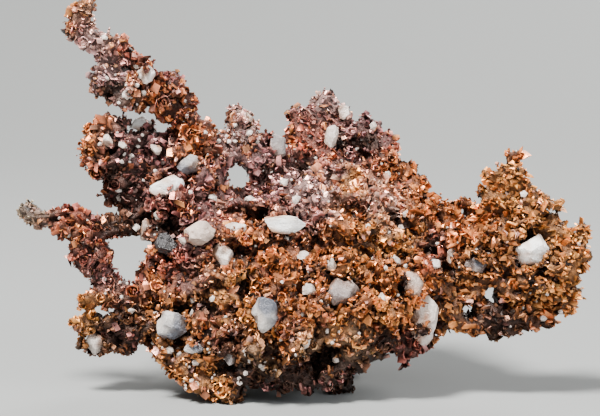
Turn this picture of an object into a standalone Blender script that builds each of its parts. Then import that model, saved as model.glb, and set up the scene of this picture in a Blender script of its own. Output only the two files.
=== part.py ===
"""Native copper nugget: a hackly, branching mass of copper crystals with quartz grains held in it.

Run with: blender --background --python part.py
Tables are in millimetres. +X runs along the nugget, -Y is its front and +Z is up.
"""

import math
import random

import bmesh
import bpy
from mathutils import Matrix, Vector

MM = 0.001
FAR = 100.0
FRONT = -1
BACK = 1
WHITE = "quartz_white"
GREY = "quartz_grey"

# Lumps of each limb: (x, y, z, radius). Neighbours in a limb overlap, so a limb is one body.
# Those smaller than POINT_RADIUS are single crystals at a tip or an edge.
LIMBS = {
    "spire": [
        (-14.4, -1.0, 25.8, 0.60), (-15.0, -1.0, 25.1, 0.55), (-14.4, -0.9, 24.9, 0.70),
        (-15.3, -1.1, 24.2, 0.50), (-14.3, -0.9, 24.0, 0.80), (-13.6, -0.8, 23.3, 0.85),
        (-14.6, -1.0, 23.4, 0.40), (-12.9, -0.7, 22.9, 0.95), (-12.0, -0.9, 23.6, 0.50),
        (-12.0, -0.6, 22.6, 1.15), (-11.1, -0.4, 22.0, 1.15), (-13.2, -0.6, 21.6, 1.15),
        (-13.1, -0.5, 20.9, 1.05), (-11.8, -0.4, 21.2, 1.35), (-12.2, -0.3, 20.6, 1.05),
        (-11.1, -0.2, 20.4, 1.30), (-10.6, -0.2, 21.3, 0.95), (-11.4, 0.0, 20.0, 0.75),
        (-10.6, 0.0, 19.9, 0.75), (-10.0, 0.1, 20.4, 0.75), (-9.5, 0.2, 20.9, 0.80),
        (-8.9, 0.3, 21.2, 0.80), (-8.7, 0.3, 20.6, 0.95), (-8.4, 0.4, 19.8, 1.05),
        (-8.0, 0.5, 18.9, 1.10), (-7.6, 0.6, 18.0, 1.05), (-7.2, 0.8, 17.2, 1.15),
        (-6.8, 1.0, 16.4, 1.30), (-9.4, 0.2, 19.1, 0.50), (-9.6, 0.1, 18.5, 0.42),
        (-13.8, -0.6, 21.1, 0.60),
    ],
    "left_lobe": [
        (-13.8, 0.2, 17.9, 0.58), (-13.1, 0.2, 18.0, 0.55), (-12.4, 0.2, 17.8, 0.60),
        (-14.2, 0.1, 17.5, 0.70), (-14.1, 0.0, 17.0, 0.95), (-14.0, 0.0, 16.1, 1.05),
        (-13.8, 0.0, 15.2, 1.00), (-13.1, 0.4, 16.8, 1.25), (-12.4, 0.6, 15.9, 1.45),
        (-12.8, 0.5, 14.7, 1.15), (-12.2, 0.7, 14.0, 1.15), (-11.8, 0.8, 13.1, 1.10),
        (-11.4, 1.0, 17.0, 1.20), (-10.6, 1.2, 16.2, 1.50), (-10.9, 1.4, 14.9, 1.60),
        (-9.4, 1.2, 16.4, 1.40), (-8.2, 1.2, 16.3, 1.50), (-10.6, 1.2, 13.6, 1.30),
        (-12.0, 2.0, 15.4, 1.30), (-9.6, 2.8, 14.8, 1.50), (-12.7, 0.6, 13.3, 0.65),
    ],
    "left_arm": [
        (-18.6, -1.0, 12.5, 0.38), (-18.3, -1.0, 12.0, 0.58), (-17.6, -1.0, 11.8, 0.70),
        (-17.1, -1.0, 11.6, 0.85), (-16.5, -0.9, 11.7, 0.85), (-15.9, -0.9, 11.6, 1.05),
        (-15.2, -0.8, 11.5, 1.10), (-14.5, -0.7, 11.3, 1.05), (-13.7, -0.6, 11.4, 0.95),
        (-13.0, -0.4, 11.4, 0.95), (-12.3, -0.2, 11.4, 1.00), (-11.5, 0.0, 11.5, 1.00),
        (-10.6, 0.2, 11.8, 1.10),
    ],
    "left_loop": [
        (-15.0, -0.8, 10.5, 0.90), (-14.3, -0.8, 9.9, 1.10), (-15.0, -0.8, 9.2, 0.80),
        (-13.7, -0.7, 9.3, 1.00), (-14.5, -0.8, 8.6, 0.90), (-13.7, -0.7, 8.1, 0.90),
        (-13.0, -0.7, 7.6, 0.90), (-12.3, -0.6, 7.1, 0.85), (-11.7, -0.6, 6.8, 0.85),
        (-10.9, -0.5, 6.6, 1.00), (-10.2, -0.6, 8.9, 0.90), (-10.5, -0.6, 7.9, 0.80),
    ],
    "left_spurs": [
        (-14.6, -1.2, 6.5, 0.45), (-14.1, -1.2, 6.4, 0.58), (-13.4, -1.1, 6.5, 0.65),
        (-12.8, -1.0, 6.8, 0.75), (-12.2, -0.8, 6.4, 0.85), (-15.4, -1.4, 4.9, 0.45),
        (-14.9, -1.4, 4.8, 0.58), (-14.2, -1.4, 4.9, 0.65), (-13.5, -1.3, 4.8, 0.70),
        (-12.8, -1.2, 4.9, 0.75), (-14.7, -0.8, 3.4, 0.50), (-13.9, -0.5, 3.6, 0.85),
        (-12.8, -0.8, 3.5, 0.95), (-12.2, -1.0, 3.0, 0.85), (-11.7, -0.9, 3.6, 0.90),
        (-11.2, -0.8, 4.4, 1.00), (-12.0, -0.9, 5.0, 1.00), (-11.5, -0.7, 5.8, 1.15),
        (-10.5, -0.6, 5.0, 1.30),
    ],
    "core": [
        (-7.4, 0.6, 12.2, 2.60), (-7.6, 0.0, 8.6, 2.90), (-7.2, -0.2, 5.2, 3.00),
        (-4.0, 0.6, 9.6, 3.60), (-3.6, 0.4, 5.2, 3.80), (-0.4, 0.8, 10.2, 3.60),
        (0.2, 0.6, 5.8, 4.20), (3.4, 1.6, 11.0, 3.20), (3.8, 0.8, 7.2, 4.00),
        (6.8, 0.8, 9.6, 2.60), (7.0, 0.2, 6.6, 2.60), (-2.2, 4.4, 8.2, 3.20),
        (2.6, 4.6, 9.2, 3.20), (-5.6, 3.6, 6.2, 2.70), (0.8, 4.4, 4.8, 3.40),
    ],
    "belly": [
        (-9.4, -2.2, 4.4, 1.20), (-9.0, -2.6, 2.9, 1.10), (-8.0, -3.0, 1.9, 1.15),
        (-7.0, -3.4, 1.3, 1.10), (-6.0, -3.8, 1.2, 1.00), (-5.3, -4.0, 0.9, 0.90),
        (-4.9, -4.0, 0.5, 0.50), (-4.0, -4.0, 1.9, 1.10), (-2.7, -4.2, 1.9, 1.10),
        (-2.6, -4.4, 1.3, 0.50), (-1.4, -4.2, 1.9, 1.10), (-0.2, -4.0, 1.8, 1.10),
        (0.6, -4.2, 1.3, 0.80), (1.5, -4.2, 1.5, 0.90), (2.2, -4.0, 2.3, 1.00),
        (3.2, -3.8, 2.9, 1.10), (4.4, -3.6, 3.5, 1.10), (5.6, -3.4, 4.0, 1.10),
        (6.8, -3.4, 3.4, 0.80), (7.0, -3.4, 2.9, 0.70), (8.0, -2.8, 4.6, 1.10),
        (-8.6, -2.8, 5.8, 1.60), (-6.6, -3.6, 3.6, 1.80), (-5.8, -4.0, 5.8, 1.70),
        (-3.6, -4.6, 4.2, 1.80), (-2.8, -4.8, 6.4, 1.70), (-0.6, -4.8, 4.2, 1.80),
        (0.4, -4.8, 6.6, 1.80), (2.6, -4.4, 4.8, 1.60), (3.6, -4.2, 6.6, 1.70),
        (5.8, -3.6, 6.0, 1.60), (-8.8, -2.4, 7.8, 1.50), (-6.4, -3.4, 7.8, 1.60),
        (-8.9, -1.8, 10.0, 1.50), (-6.8, -2.8, 10.0, 1.60), (-4.4, -3.8, 8.2, 1.60),
        (-2.0, -4.2, 8.6, 1.60), (0.4, -4.2, 8.8, 1.60), (2.6, -3.8, 8.8, 1.60),
        (5.0, -3.2, 8.2, 1.60), (7.4, -2.4, 7.2, 1.60), (7.2, -2.0, 9.4, 1.50),
        (-5.2, -2.0, 2.3, 1.30), (0.7, -2.2, 2.6, 1.30),
    ],
    "upper_front": [
        (-9.0, -0.8, 12.2, 1.40), (-9.2, 0.0, 14.0, 1.50), (-7.6, -1.2, 12.6, 1.40),
        (-7.4, 0.0, 14.6, 1.50), (-6.3, 0.6, 13.4, 1.20), (-6.2, 1.2, 15.4, 1.20),
        (-5.6, 1.4, 14.2, 0.80), (-5.0, -2.6, 11.0, 1.70), (-5.2, -0.8, 12.2, 1.10),
        (-2.8, -3.0, 11.0, 1.70), (-2.6, 0.4, 12.6, 1.20), (-0.8, -2.9, 11.2, 1.70),
        (1.4, -2.7, 11.0, 1.70), (-1.2, 1.0, 13.4, 1.30), (0.6, 1.4, 13.6, 1.40),
        (2.6, 0.6, 13.2, 1.40), (3.6, -2.4, 10.6, 1.60), (5.6, -1.4, 10.6, 1.60),
        (4.8, 1.4, 12.9, 1.40), (7.4, 0.0, 11.5, 1.30), (8.8, 0.6, 12.0, 1.20),
        (6.9, 1.8, 12.6, 1.20), (-1.9, -0.9, 12.7, 1.10), (0.2, -0.8, 12.8, 1.30),
        (2.2, -1.0, 12.4, 1.30), (4.2, -0.4, 12.2, 1.30), (6.2, 0.4, 11.9, 1.20),
        (-0.6, 2.6, 14.2, 1.20), (1.6, 2.8, 14.2, 1.30), (3.6, 2.6, 13.8, 1.30),
        (-4.0, -1.4, 12.6, 0.80),
    ],
    "crest": [
        (1.5, 7.4, 19.1, 0.58), (1.0, 7.4, 18.8, 0.50), (1.5, 7.2, 18.6, 0.85),
        (1.4, 7.0, 17.7, 1.10), (0.4, 6.8, 18.1, 0.90), (-0.4, 6.7, 18.0, 0.75),
        (-0.6, 6.6, 17.2, 0.90), (2.6, 6.9, 18.1, 0.80), (-0.6, 6.4, 16.4, 1.00),
        (4.2, 6.7, 17.8, 0.65), (3.6, 6.7, 17.0, 1.05), (4.9, 6.4, 16.6, 0.95),
        (0.4, 6.4, 16.5, 1.40), (2.1, 6.4, 15.9, 1.70), (4.0, 6.0, 15.3, 1.70),
        (5.8, 5.8, 15.9, 1.00), (5.7, 5.0, 14.5, 1.60), (7.0, 4.8, 14.7, 0.95),
        (7.5, 4.0, 13.7, 1.00), (8.3, 3.2, 12.8, 1.05), (9.2, 2.2, 12.0, 1.10),
        (9.9, 1.0, 12.1, 0.80), (0.0, 5.2, 14.6, 1.60), (2.2, 4.8, 13.9, 1.80),
        (4.4, 4.2, 12.9, 1.90), (6.6, 3.2, 12.1, 1.70), (-1.4, 4.8, 14.5, 1.20),
        (-2.6, 4.2, 16.1, 0.90), (-2.8, 4.0, 15.0, 1.00), (-3.2, 2.8, 14.8, 1.10),
        (-3.1, 2.8, 13.2, 1.00), (-1.0, 4.0, 12.7, 1.80),
    ],
    "small_spire": [
        (-4.6, 3.5, 18.5, 0.64), (-4.6, 3.4, 18.0, 0.85), (-4.8, 3.2, 17.3, 0.95),
        (-4.0, 3.5, 17.6, 0.80), (-4.4, 3.2, 16.5, 1.05), (-5.4, 2.6, 16.7, 0.85),
        (-6.5, 1.5, 17.4, 0.55), (-6.2, 1.8, 16.7, 0.85), (-3.4, 3.8, 16.5, 0.95),
        (-5.4, 2.4, 15.7, 0.75), (-4.3, 3.0, 15.9, 1.00),
    ],
    "wing": [
        (9.2, -0.8, 9.9, 1.70), (9.4, -1.4, 7.6, 1.70), (9.2, -1.8, 5.8, 1.40),
        (10.7, -1.4, 10.8, 1.50), (11.0, -1.8, 8.9, 1.50), (11.3, -2.0, 7.8, 1.00),
        (10.0, -2.0, 5.0, 0.95), (11.9, -2.0, 5.4, 0.90), (11.1, -1.9, 6.8, 0.80),
        (12.6, -2.2, 11.3, 1.40), (12.6, -2.4, 9.4, 1.50), (13.7, -2.4, 7.4, 1.10),
        (14.2, -2.4, 12.8, 1.35), (14.1, -2.6, 10.8, 1.60), (14.5, -2.6, 8.8, 1.60),
        (14.4, -2.5, 6.5, 1.30), (13.0, -2.3, 5.4, 1.00), (15.8, -2.5, 5.8, 1.00),
        (15.9, -2.6, 11.1, 1.30), (16.0, -2.7, 9.4, 1.50), (16.2, -2.6, 7.5, 1.30),
        (17.2, -2.6, 9.9, 1.15), (17.4, -2.6, 8.5, 1.05), (13.4, -0.6, 9.8, 1.40),
        (15.2, -1.0, 8.8, 1.30), (11.4, 0.0, 9.8, 1.50), (13.0, -0.8, 12.0, 1.10),
        (15.4, -1.2, 6.6, 1.00), (14.8, -3.6, 7.8, 1.00), (12.8, -3.5, 10.6, 0.95),
        (16.4, -3.6, 9.4, 0.95), (11.2, -3.0, 10.4, 0.90), (14.4, -3.6, 12.0, 0.85),
    ],
    "wing_points": [
        (14.6, -2.4, 14.4, 1.05), (14.5, -2.4, 15.3, 0.76), (14.7, -2.4, 16.3, 0.50),
        (13.2, -2.2, 14.8, 0.55), (13.7, -2.2, 14.4, 0.88), (12.7, -2.1, 14.8, 0.48),
        (12.0, -2.0, 13.5, 0.55), (12.6, -2.1, 13.1, 0.85), (13.3, -2.2, 13.5, 0.80),
        (10.6, -0.8, 12.6, 0.70), (11.3, -1.5, 12.4, 0.80), (11.9, -1.9, 12.2, 0.80),
        (10.4, -1.2, 13.0, 0.40), (15.3, -2.4, 13.9, 0.70), (15.8, -2.4, 13.2, 0.70),
        (16.3, -2.5, 12.9, 0.50), (16.3, -2.5, 12.2, 0.70), (16.9, -2.6, 11.4, 0.65),
        (17.6, -2.6, 10.9, 0.65), (18.3, -2.6, 11.4, 0.38), (18.1, -2.6, 10.8, 0.45),
        (17.8, -2.6, 10.2, 0.70), (18.3, -2.6, 9.4, 0.50), (17.9, -2.6, 9.1, 0.70),
        (18.1, -2.6, 8.5, 0.45), (17.1, -2.5, 7.3, 0.90), (17.7, -2.5, 7.4, 0.45),
        (17.5, -2.5, 6.7, 0.42), (16.9, -2.5, 6.4, 0.65), (17.4, -2.5, 5.9, 0.40),
        (15.6, -2.4, 5.1, 0.65), (16.1, -2.4, 5.0, 0.42), (12.6, -2.0, 4.5, 0.80),
        (12.4, -2.0, 4.0, 0.48), (13.5, -2.1, 4.8, 0.80), (14.4, -2.2, 5.0, 0.80),
        (11.2, -2.0, 4.6, 0.65), (12.9, -2.5, 8.1, 0.80), (12.3, -2.1, 5.9, 0.80),
    ],
    "back": [
        (-8.4, 3.2, 8.8, 1.80), (-8.0, 3.2, 5.4, 1.80), (-6.2, 5.6, 7.8, 1.70),
        (-6.0, 4.4, 10.6, 1.80), (-3.2, 6.6, 10.8, 1.80), (-5.4, 6.2, 4.4, 1.60),
        (-2.6, 7.4, 6.4, 1.90), (0.6, 7.6, 8.4, 2.00), (0.2, 7.0, 12.2, 1.80),
        (3.4, 7.6, 6.0, 1.80), (3.6, 7.4, 10.4, 1.90), (6.0, 5.2, 8.2, 2.00),
        (6.6, 4.2, 5.6, 1.60), (8.8, 2.2, 8.0, 1.60), (3.0, 6.8, 13.2, 1.60),
        (5.8, 5.4, 11.4, 1.60), (9.6, 1.6, 5.8, 1.20), (-4.6, 3.0, 12.0, 1.20),
    ],
    "feet": [
        (-4.6, 5.6, 2.4, 1.40), (-4.4, 5.8, 0.5, 1.20), (-1.2, 6.8, 3.4, 1.40),
        (2.4, 6.2, 2.6, 1.60), (2.8, 6.2, 0.5, 1.25), (-1.0, 2.4, 1.8, 1.60),
        (-6.6, 1.0, 1.9, 1.50), (2.4, 0.2, 2.4, 1.60), (5.2, 3.6, 3.4, 1.40),
        (1.9, -0.6, 0.5, 1.20), (-4.6, -3.8, 0.4, 0.80),
    ],
}
POINT_RADIUS = 0.62

# Gaps seen right through the nugget from the front: (x, z, radius), kept clear of small crystals.
OPENINGS = [
    (-12.3, 9.7, 0.60), (-11.6, 9.6, 0.90), (-11.5, 8.9, 0.55), (-11.5, 8.2, 0.30),
    (-4.5, 14.7, 0.40), (-4.2, 14.0, 0.60), (12.4, 7.0, 0.45), (10.8, 5.7, 0.30),
    (6.0, 13.4, 0.30),
]

# Small crystals fused to the lumps: how many, their half-widths and how far they sink in.
CRYSTAL_COUNT = 300
CRYSTAL_TRIES = 20000
CRYSTAL_SIZE = (0.38, 0.78)
CRYSTAL_SINK = 0.60
CRYSTAL_SPACING = 1.0

# Quartz grains: side they sit on, kind, x, z, half-width, half-height, turn about Y in degrees.
GRAINS = {
    "quartz_spire": (FRONT, WHITE, -10.6, 21.4, 0.75, 0.57, 15.0),
    "quartz_lobe_top": (FRONT, WHITE, -13.1, 17.0, 0.42, 0.46, 0.0),
    "quartz_lobe_bead": (FRONT, WHITE, -9.9, 16.3, 0.36, 0.36, 0.0),
    "quartz_lobe_grey": (FRONT, GREY, -11.0, 17.9, 0.90, 0.50, -5.0),
    "quartz_lobe_lens": (FRONT, WHITE, -9.3, 14.0, 1.25, 0.76, -8.0),
    "quartz_shoulder": (FRONT, GREY, -7.7, 15.4, 0.88, 0.70, 10.0),
    "quartz_arm_root": (FRONT, GREY, -10.5, 11.1, 0.56, 0.78, 5.0),
    "quartz_arm_bead": (FRONT, WHITE, -9.6, 12.1, 0.40, 0.40, 0.0),
    "quartz_cavity": (FRONT, GREY, -9.0, 10.4, 0.80, 0.80, 30.0),
    "quartz_wedge": (FRONT, GREY, -6.9, 11.3, 0.95, 0.80, 20.0),
    "quartz_slab": (FRONT, WHITE, -5.5, 9.7, 0.55, 1.10, -35.0),
    "quartz_sliver": (FRONT, WHITE, -4.6, 11.6, 0.75, 0.36, 0.0),
    "quartz_middle_bright": (FRONT, WHITE, -1.2, 11.8, 1.30, 0.60, 5.0),
    "quartz_middle_upper": (FRONT, WHITE, 0.1, 9.8, 0.62, 0.43, 10.0),
    "quartz_middle_right": (FRONT, WHITE, 1.5, 9.3, 0.50, 0.42, -10.0),
    "quartz_middle_lower": (FRONT, WHITE, 0.4, 7.8, 0.60, 0.44, 0.0),
    "quartz_middle_large": (FRONT, WHITE, 2.6, 7.5, 1.15, 0.88, -15.0),
    "quartz_right_bead": (FRONT, WHITE, 5.9, 9.4, 0.40, 0.42, 0.0),
    "quartz_right_pebble": (FRONT, WHITE, 7.1, 7.8, 0.65, 1.00, -30.0),
    "quartz_right_chip": (FRONT, WHITE, 4.9, 6.9, 0.32, 0.55, 0.0),
    "quartz_right_large": (FRONT, GREY, 7.9, 5.2, 0.82, 1.65, 15.0),
    "quartz_neck_bead": (FRONT, WHITE, 8.3, 9.2, 0.50, 0.38, 0.0),
    "quartz_neck_upper": (FRONT, GREY, 9.8, 9.5, 0.46, 0.70, 20.0),
    "quartz_neck_grey": (FRONT, GREY, 11.2, 9.0, 0.75, 0.66, -20.0),
    "quartz_wing": (FRONT, WHITE, 14.8, 10.0, 1.10, 1.25, 30.0),
    "quartz_belly_blue": (FRONT, GREY, -2.5, 6.3, 0.88, 1.20, 10.0),
    "quartz_belly_speckled": (FRONT, GREY, -8.6, 5.2, 1.25, 1.05, 0.0),
    "quartz_belly_flat": (FRONT, GREY, -7.2, 3.7, 0.75, 0.40, -10.0),
    "quartz_belly_small": (FRONT, WHITE, -0.1, 4.5, 0.52, 0.54, 0.0),
    "quartz_belly_grey": (FRONT, GREY, -4.9, 3.4, 0.40, 0.72, 0.0),
    "quartz_spur": (FRONT, WHITE, -13.9, 3.4, 0.80, 0.74, 0.0),
    "quartz_crest_left": (FRONT, GREY, -1.9, 16.3, 0.58, 0.90, 0.0),
    "quartz_crest_middle": (FRONT, WHITE, 1.8, 16.8, 0.48, 0.75, 10.0),
    "quartz_crest_top": (FRONT, WHITE, 2.7, 18.3, 0.40, 0.56, 0.0),
    "quartz_small_spire": (FRONT, WHITE, -3.9, 18.2, 0.34, 0.36, 0.0),
    "quartz_back_high": (BACK, WHITE, -9.6, 15.2, 0.90, 0.60, 20.0),
    "quartz_back_left": (BACK, GREY, -6.4, 9.2, 1.10, 0.80, -20.0),
    "quartz_back_low": (BACK, WHITE, -2.6, 6.4, 0.80, 0.95, 10.0),
    "quartz_back_middle": (BACK, GREY, 0.6, 10.4, 1.20, 0.85, 0.0),
    "quartz_back_crest": (BACK, WHITE, 2.4, 15.6, 0.65, 0.90, 25.0),
    "quartz_back_right": (BACK, GREY, 5.4, 7.0, 0.95, 1.10, 35.0),
    "quartz_back_neck": (BACK, WHITE, 9.4, 9.6, 0.70, 0.60, 0.0),
    "quartz_back_wing": (BACK, WHITE, 14.6, 8.0, 0.90, 0.75, -15.0),
}
GRAIN_DEPTH = 0.85  # half-depth, as a share of the lesser of the other two half-sizes
GRAIN_SINK = 0.20  # how far the centre lies behind the copper's surface, in half-depths
SOCKET_GAP = 0.30

# How many corners the rough balls have, how far these move in or out, and the ball's growth
# that makes up for the chords that its flat faces cut off.
LUMP_POINTS = 13
SMALL_LUMP_POINTS = 9
SMALL_LUMP_RADIUS = 0.7
LUMP_ROUGHNESS = 0.16
GRAIN_POINTS = 14
GRAIN_ROUGHNESS = 0.12
HULL_GROWTH = 1.08

# Facets kept on the fused limbs, and on the copper with its crystals and sockets.
LIMB_FACETS = 3000
COPPER_FACETS = 8500

# Colour, roughness and metallic value of each material.
MATERIALS = {
    "copper": ((0.40, 0.17, 0.075, 1.0), 0.42, 1.0),
    WHITE: ((0.80, 0.79, 0.76, 1.0), 0.30, 0.0),
    GREY: ((0.50, 0.52, 0.54, 1.0), 0.25, 0.0),
}
SHAPE_SEED = 25
GRAIN_SEED = 100


def clear_scene():
    for item in list(bpy.data.objects):
        bpy.data.objects.remove(item)


def direction(rng):
    """A random unit vector, even over the sphere."""
    height = rng.uniform(-1.0, 1.0)
    turn = rng.uniform(0.0, 2.0 * math.pi)
    across = math.sqrt(1.0 - height * height)
    return Vector((across * math.cos(turn), across * math.sin(turn), height))


def any_turn(rng):
    return Matrix.Rotation(rng.uniform(0.0, 2.0 * math.pi), 4, direction(rng))


def hull(points):
    """The closed convex polyhedron around the points."""
    mesh = bmesh.new()
    for point in points:
        mesh.verts.new(point)
    result = bmesh.ops.convex_hull(mesh, input=mesh.verts)
    spare = [item for item in result["geom_interior"] if isinstance(item, bmesh.types.BMVert)]
    bmesh.ops.delete(mesh, geom=spare, context="VERTS")
    bmesh.ops.recalc_face_normals(mesh, faces=mesh.faces)
    return mesh


def rough_ball(rng, count, roughness):
    """Points on a spiral over a unit ball, turned at random, each moved in or out."""
    turn = any_turn(rng)
    golden = math.pi * (3.0 - math.sqrt(5.0))
    points = []
    for i in range(count):
        height = 1.0 - (2.0 * i + 1.0) / count
        across = math.sqrt(1.0 - height * height)
        spot = Vector((across * math.cos(golden * i), across * math.sin(golden * i), height))
        points.append((turn @ spot) * (1.0 + rng.uniform(-roughness, roughness)))
    return points


def lump(rng, centre, radius):
    count = LUMP_POINTS if radius > SMALL_LUMP_RADIUS else SMALL_LUMP_POINTS
    ball = rough_ball(rng, count, LUMP_ROUGHNESS)
    return hull([centre + point * radius * HULL_GROWTH for point in ball])


def crystal(rng, centre, size):
    """A small crystal turned at random: a block, an octahedron or a thin flake."""
    kind = rng.choices(("block", "octahedron", "flake"), (0.45, 0.30, 0.25))[0]
    turn = any_turn(rng)
    if kind == "block":
        half = [size * rng.uniform(0.75, 1.15) for _ in range(3)]
        corners = [(i, j, k) for i in (-1, 1) for j in (-1, 1) for k in (-1, 1)]
    elif kind == "octahedron":
        half = [size * rng.uniform(1.1, 1.7) for _ in range(3)]
        corners = [(1, 0, 0), (-1, 0, 0), (0, 1, 0), (0, -1, 0), (0, 0, 1), (0, 0, -1)]
    else:
        half = [size * 1.7, size * 1.2, size * 0.45]
        outline = ((1.0, 0.0), (0.4, 1.0), (-0.8, 0.8), (-0.9, -0.6), (0.5, -0.9))
        corners = [(i, j, k) for i, j in outline for k in (-1, 1)]
    return hull([centre + turn @ Vector([c * h for c, h in zip(corner, half)]) for corner in corners])


def in_an_opening(point, size):
    return any(math.hypot(point.x - x, point.z - z) < radius + size for x, z, radius in OPENINGS)


def crystal_places(rng, lumps):
    """Spots and sizes spread over the outside of the lumps, away from the openings."""
    places = []
    weights = [radius for _, radius in lumps]
    for _ in range(CRYSTAL_TRIES):
        centre, radius = rng.choices(lumps, weights)[0]
        size = rng.uniform(*CRYSTAL_SIZE) * min(1.0, 0.55 + 0.35 * radius)
        spot = centre + direction(rng) * (radius - CRYSTAL_SINK * size)
        buried = any((spot - other).length < reach - 0.65 * size for other, reach in lumps)
        crowded = any((spot - other).length < CRYSTAL_SPACING for other, _ in places)
        if not (buried or crowded or in_an_opening(spot, size)) and spot.z > size:
            places.append((spot, size))
        if len(places) == CRYSTAL_COUNT:
            break
    return places


def add_object(name, mesh, collection):
    """An object of the mesh, whose lengths go from millimetres to metres."""
    data = bpy.data.meshes.new(name)
    mesh.to_mesh(data)
    mesh.free()
    data.transform(Matrix.Scale(MM, 4))
    item = bpy.data.objects.new(name, data)
    collection.objects.link(item)
    return item


def apply_modifiers(item):
    depsgraph = bpy.context.evaluated_depsgraph_get()
    data = bpy.data.meshes.new_from_object(item.evaluated_get(depsgraph))
    item.modifiers.clear()
    item.data = data


def combine(item, operation, group):
    """Joins the group's shapes to the item or cuts them from it, and removes the group."""
    boolean = item.modifiers.new(operation.lower(), "BOOLEAN")
    boolean.operation = operation
    boolean.solver = "EXACT"
    boolean.operand_type = "COLLECTION"
    boolean.collection = group
    boolean.use_self = operation == "DIFFERENCE"
    apply_modifiers(item)
    for shape in list(group.objects):
        bpy.data.objects.remove(shape)
    bpy.data.collections.remove(group)


def working_group(name):
    group = bpy.data.collections.new(name)
    bpy.context.scene.collection.children.link(group)
    return group


def shell_volume(faces):
    total = 0.0
    for face in faces:
        corners = [vert.co for vert in face.verts]
        for i in range(1, len(corners) - 1):
            total += corners[0].dot(corners[i].cross(corners[i + 1])) / 6.0
    return total


def keep_largest_shell(item):
    """Drops loose crumbs and the walls of pockets sealed inside the copper."""
    mesh = bmesh.new()
    mesh.from_mesh(item.data)
    left = set(mesh.faces)
    shells = []
    while left:
        shell = {left.pop()}
        front = list(shell)
        while front:
            face = front.pop()
            for edge in face.edges:
                beside = edge.link_faces if len(edge.link_faces) == 2 else ()
                for other in beside:
                    if other in left:
                        left.remove(other)
                        shell.add(other)
                        front.append(other)
        shells.append(shell)
    shells.sort(key=shell_volume, reverse=True)
    spare = [face for shell in shells[1:] for face in shell]
    bmesh.ops.delete(mesh, geom=spare, context="FACES")
    bmesh.ops.triangulate(mesh, faces=mesh.faces)
    mesh.to_mesh(item.data)
    mesh.free()


def thin_out(item, facets):
    """Merges the smallest facets until about this many are left."""
    decimate = item.modifiers.new("fewer_facets", "DECIMATE")
    decimate.ratio = min(1.0, facets / len(item.data.polygons))
    apply_modifiers(item)


def fuse(copper, shapes, name):
    group = working_group(name)
    for number, shape in enumerate(shapes):
        add_object(f"{name}_{number:03d}", shape, group)
    combine(copper, "UNION", group)
    keep_largest_shell(copper)


def build_copper():
    """The limbs are fused and their facets thinned out, then the crystals are fused to them."""
    rng = random.Random(SHAPE_SEED)
    lumps = [(Vector(row[:3]), row[3]) for rows in LIMBS.values() for row in rows]
    masses = [(centre, radius) for centre, radius in lumps if radius >= POINT_RADIUS]
    points = [(centre, radius) for centre, radius in lumps if radius < POINT_RADIUS]
    shapes = [lump(rng, centre, radius) for centre, radius in masses]
    copper = add_object("copper", shapes[0], bpy.context.scene.collection)
    fuse(copper, shapes[1:], "limb_lumps")
    thin_out(copper, LIMB_FACETS)
    crystals = [crystal(rng, centre, radius) for centre, radius in points + crystal_places(rng, lumps)]
    fuse(copper, crystals, "crystals")
    return copper


def surface_depth(copper, side, x, z, half_width, half_height):
    """The middle one of the copper's depths behind a grain's outline, seen along Y from its side."""
    depths = []
    for across in (-0.5, 0.0, 0.5):
        for up in (-0.5, 0.0, 0.5):
            start = Vector((x + across * half_width, side * FAR, z + up * half_height)) * MM
            found, spot, _, _ = copper.ray_cast(start, Vector((0.0, -side, 0.0)))
            if found:
                depths.append(spot.y / MM)
    return sorted(depths)[len(depths) // 2]


def grain(ball, centre, half, turn):
    points = [Vector([share * reach for share, reach in zip(point, half)]) for point in ball]
    return hull([centre + turn @ point for point in points])


def build_grains(copper):
    """The quartz grains, and the larger shapes that cut their sockets."""
    sockets = working_group("sockets")
    grains = {}
    for number, (name, row) in enumerate(GRAINS.items()):
        side, kind, x, z, half_width, half_height, tilt = row
        rng = random.Random(GRAIN_SEED + number)
        depth = GRAIN_DEPTH * min(half_width, half_height)
        y = surface_depth(copper, side, x, z, half_width, half_height) - side * GRAIN_SINK * depth
        centre = Vector((x, y, z))
        half = Vector((half_width, depth, half_height)) * HULL_GROWTH
        socket_half = half + Vector((SOCKET_GAP, SOCKET_GAP, SOCKET_GAP))
        turn = Matrix.Rotation(math.radians(tilt), 4, "Y")
        ball = rough_ball(rng, GRAIN_POINTS, GRAIN_ROUGHNESS)
        piece = add_object(name, grain(ball, centre, half, turn), bpy.context.scene.collection)
        grains[piece] = kind
        add_object(f"socket_{name}", grain(ball, centre, socket_half, turn), sockets)
    return grains, sockets


def floor_block():
    """A block whose top is the floor: what it cuts off leaves the flats that the nugget rests on."""
    group = working_group("floor")
    mesh = bmesh.new()
    bmesh.ops.create_cube(mesh, size=FAR)
    bmesh.ops.translate(mesh, verts=mesh.verts, vec=(0.0, 0.0, -FAR / 2.0))
    add_object("floor_block", mesh, group)
    return group


def centre_over_origin(items):
    """Moves the pieces along X and Y, so that the middle of their box is over the origin."""
    corners = [vert.co for item in items for vert in item.data.vertices]
    middle = [(min(c[i] for c in corners) + max(c[i] for c in corners)) / 2.0 for i in (0, 1)]
    for item in items:
        item.data.transform(Matrix.Translation((-middle[0], -middle[1], 0.0)))


def make_materials():
    made = {}
    for name, (colour, roughness, metallic) in MATERIALS.items():
        item = bpy.data.materials.new(name)
        item.use_nodes = True
        shader = item.node_tree.nodes["Principled BSDF"]
        shader.inputs["Base Color"].default_value = colour
        shader.inputs["Roughness"].default_value = roughness
        shader.inputs["Metallic"].default_value = metallic
        made[name] = item
    return made


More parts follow.
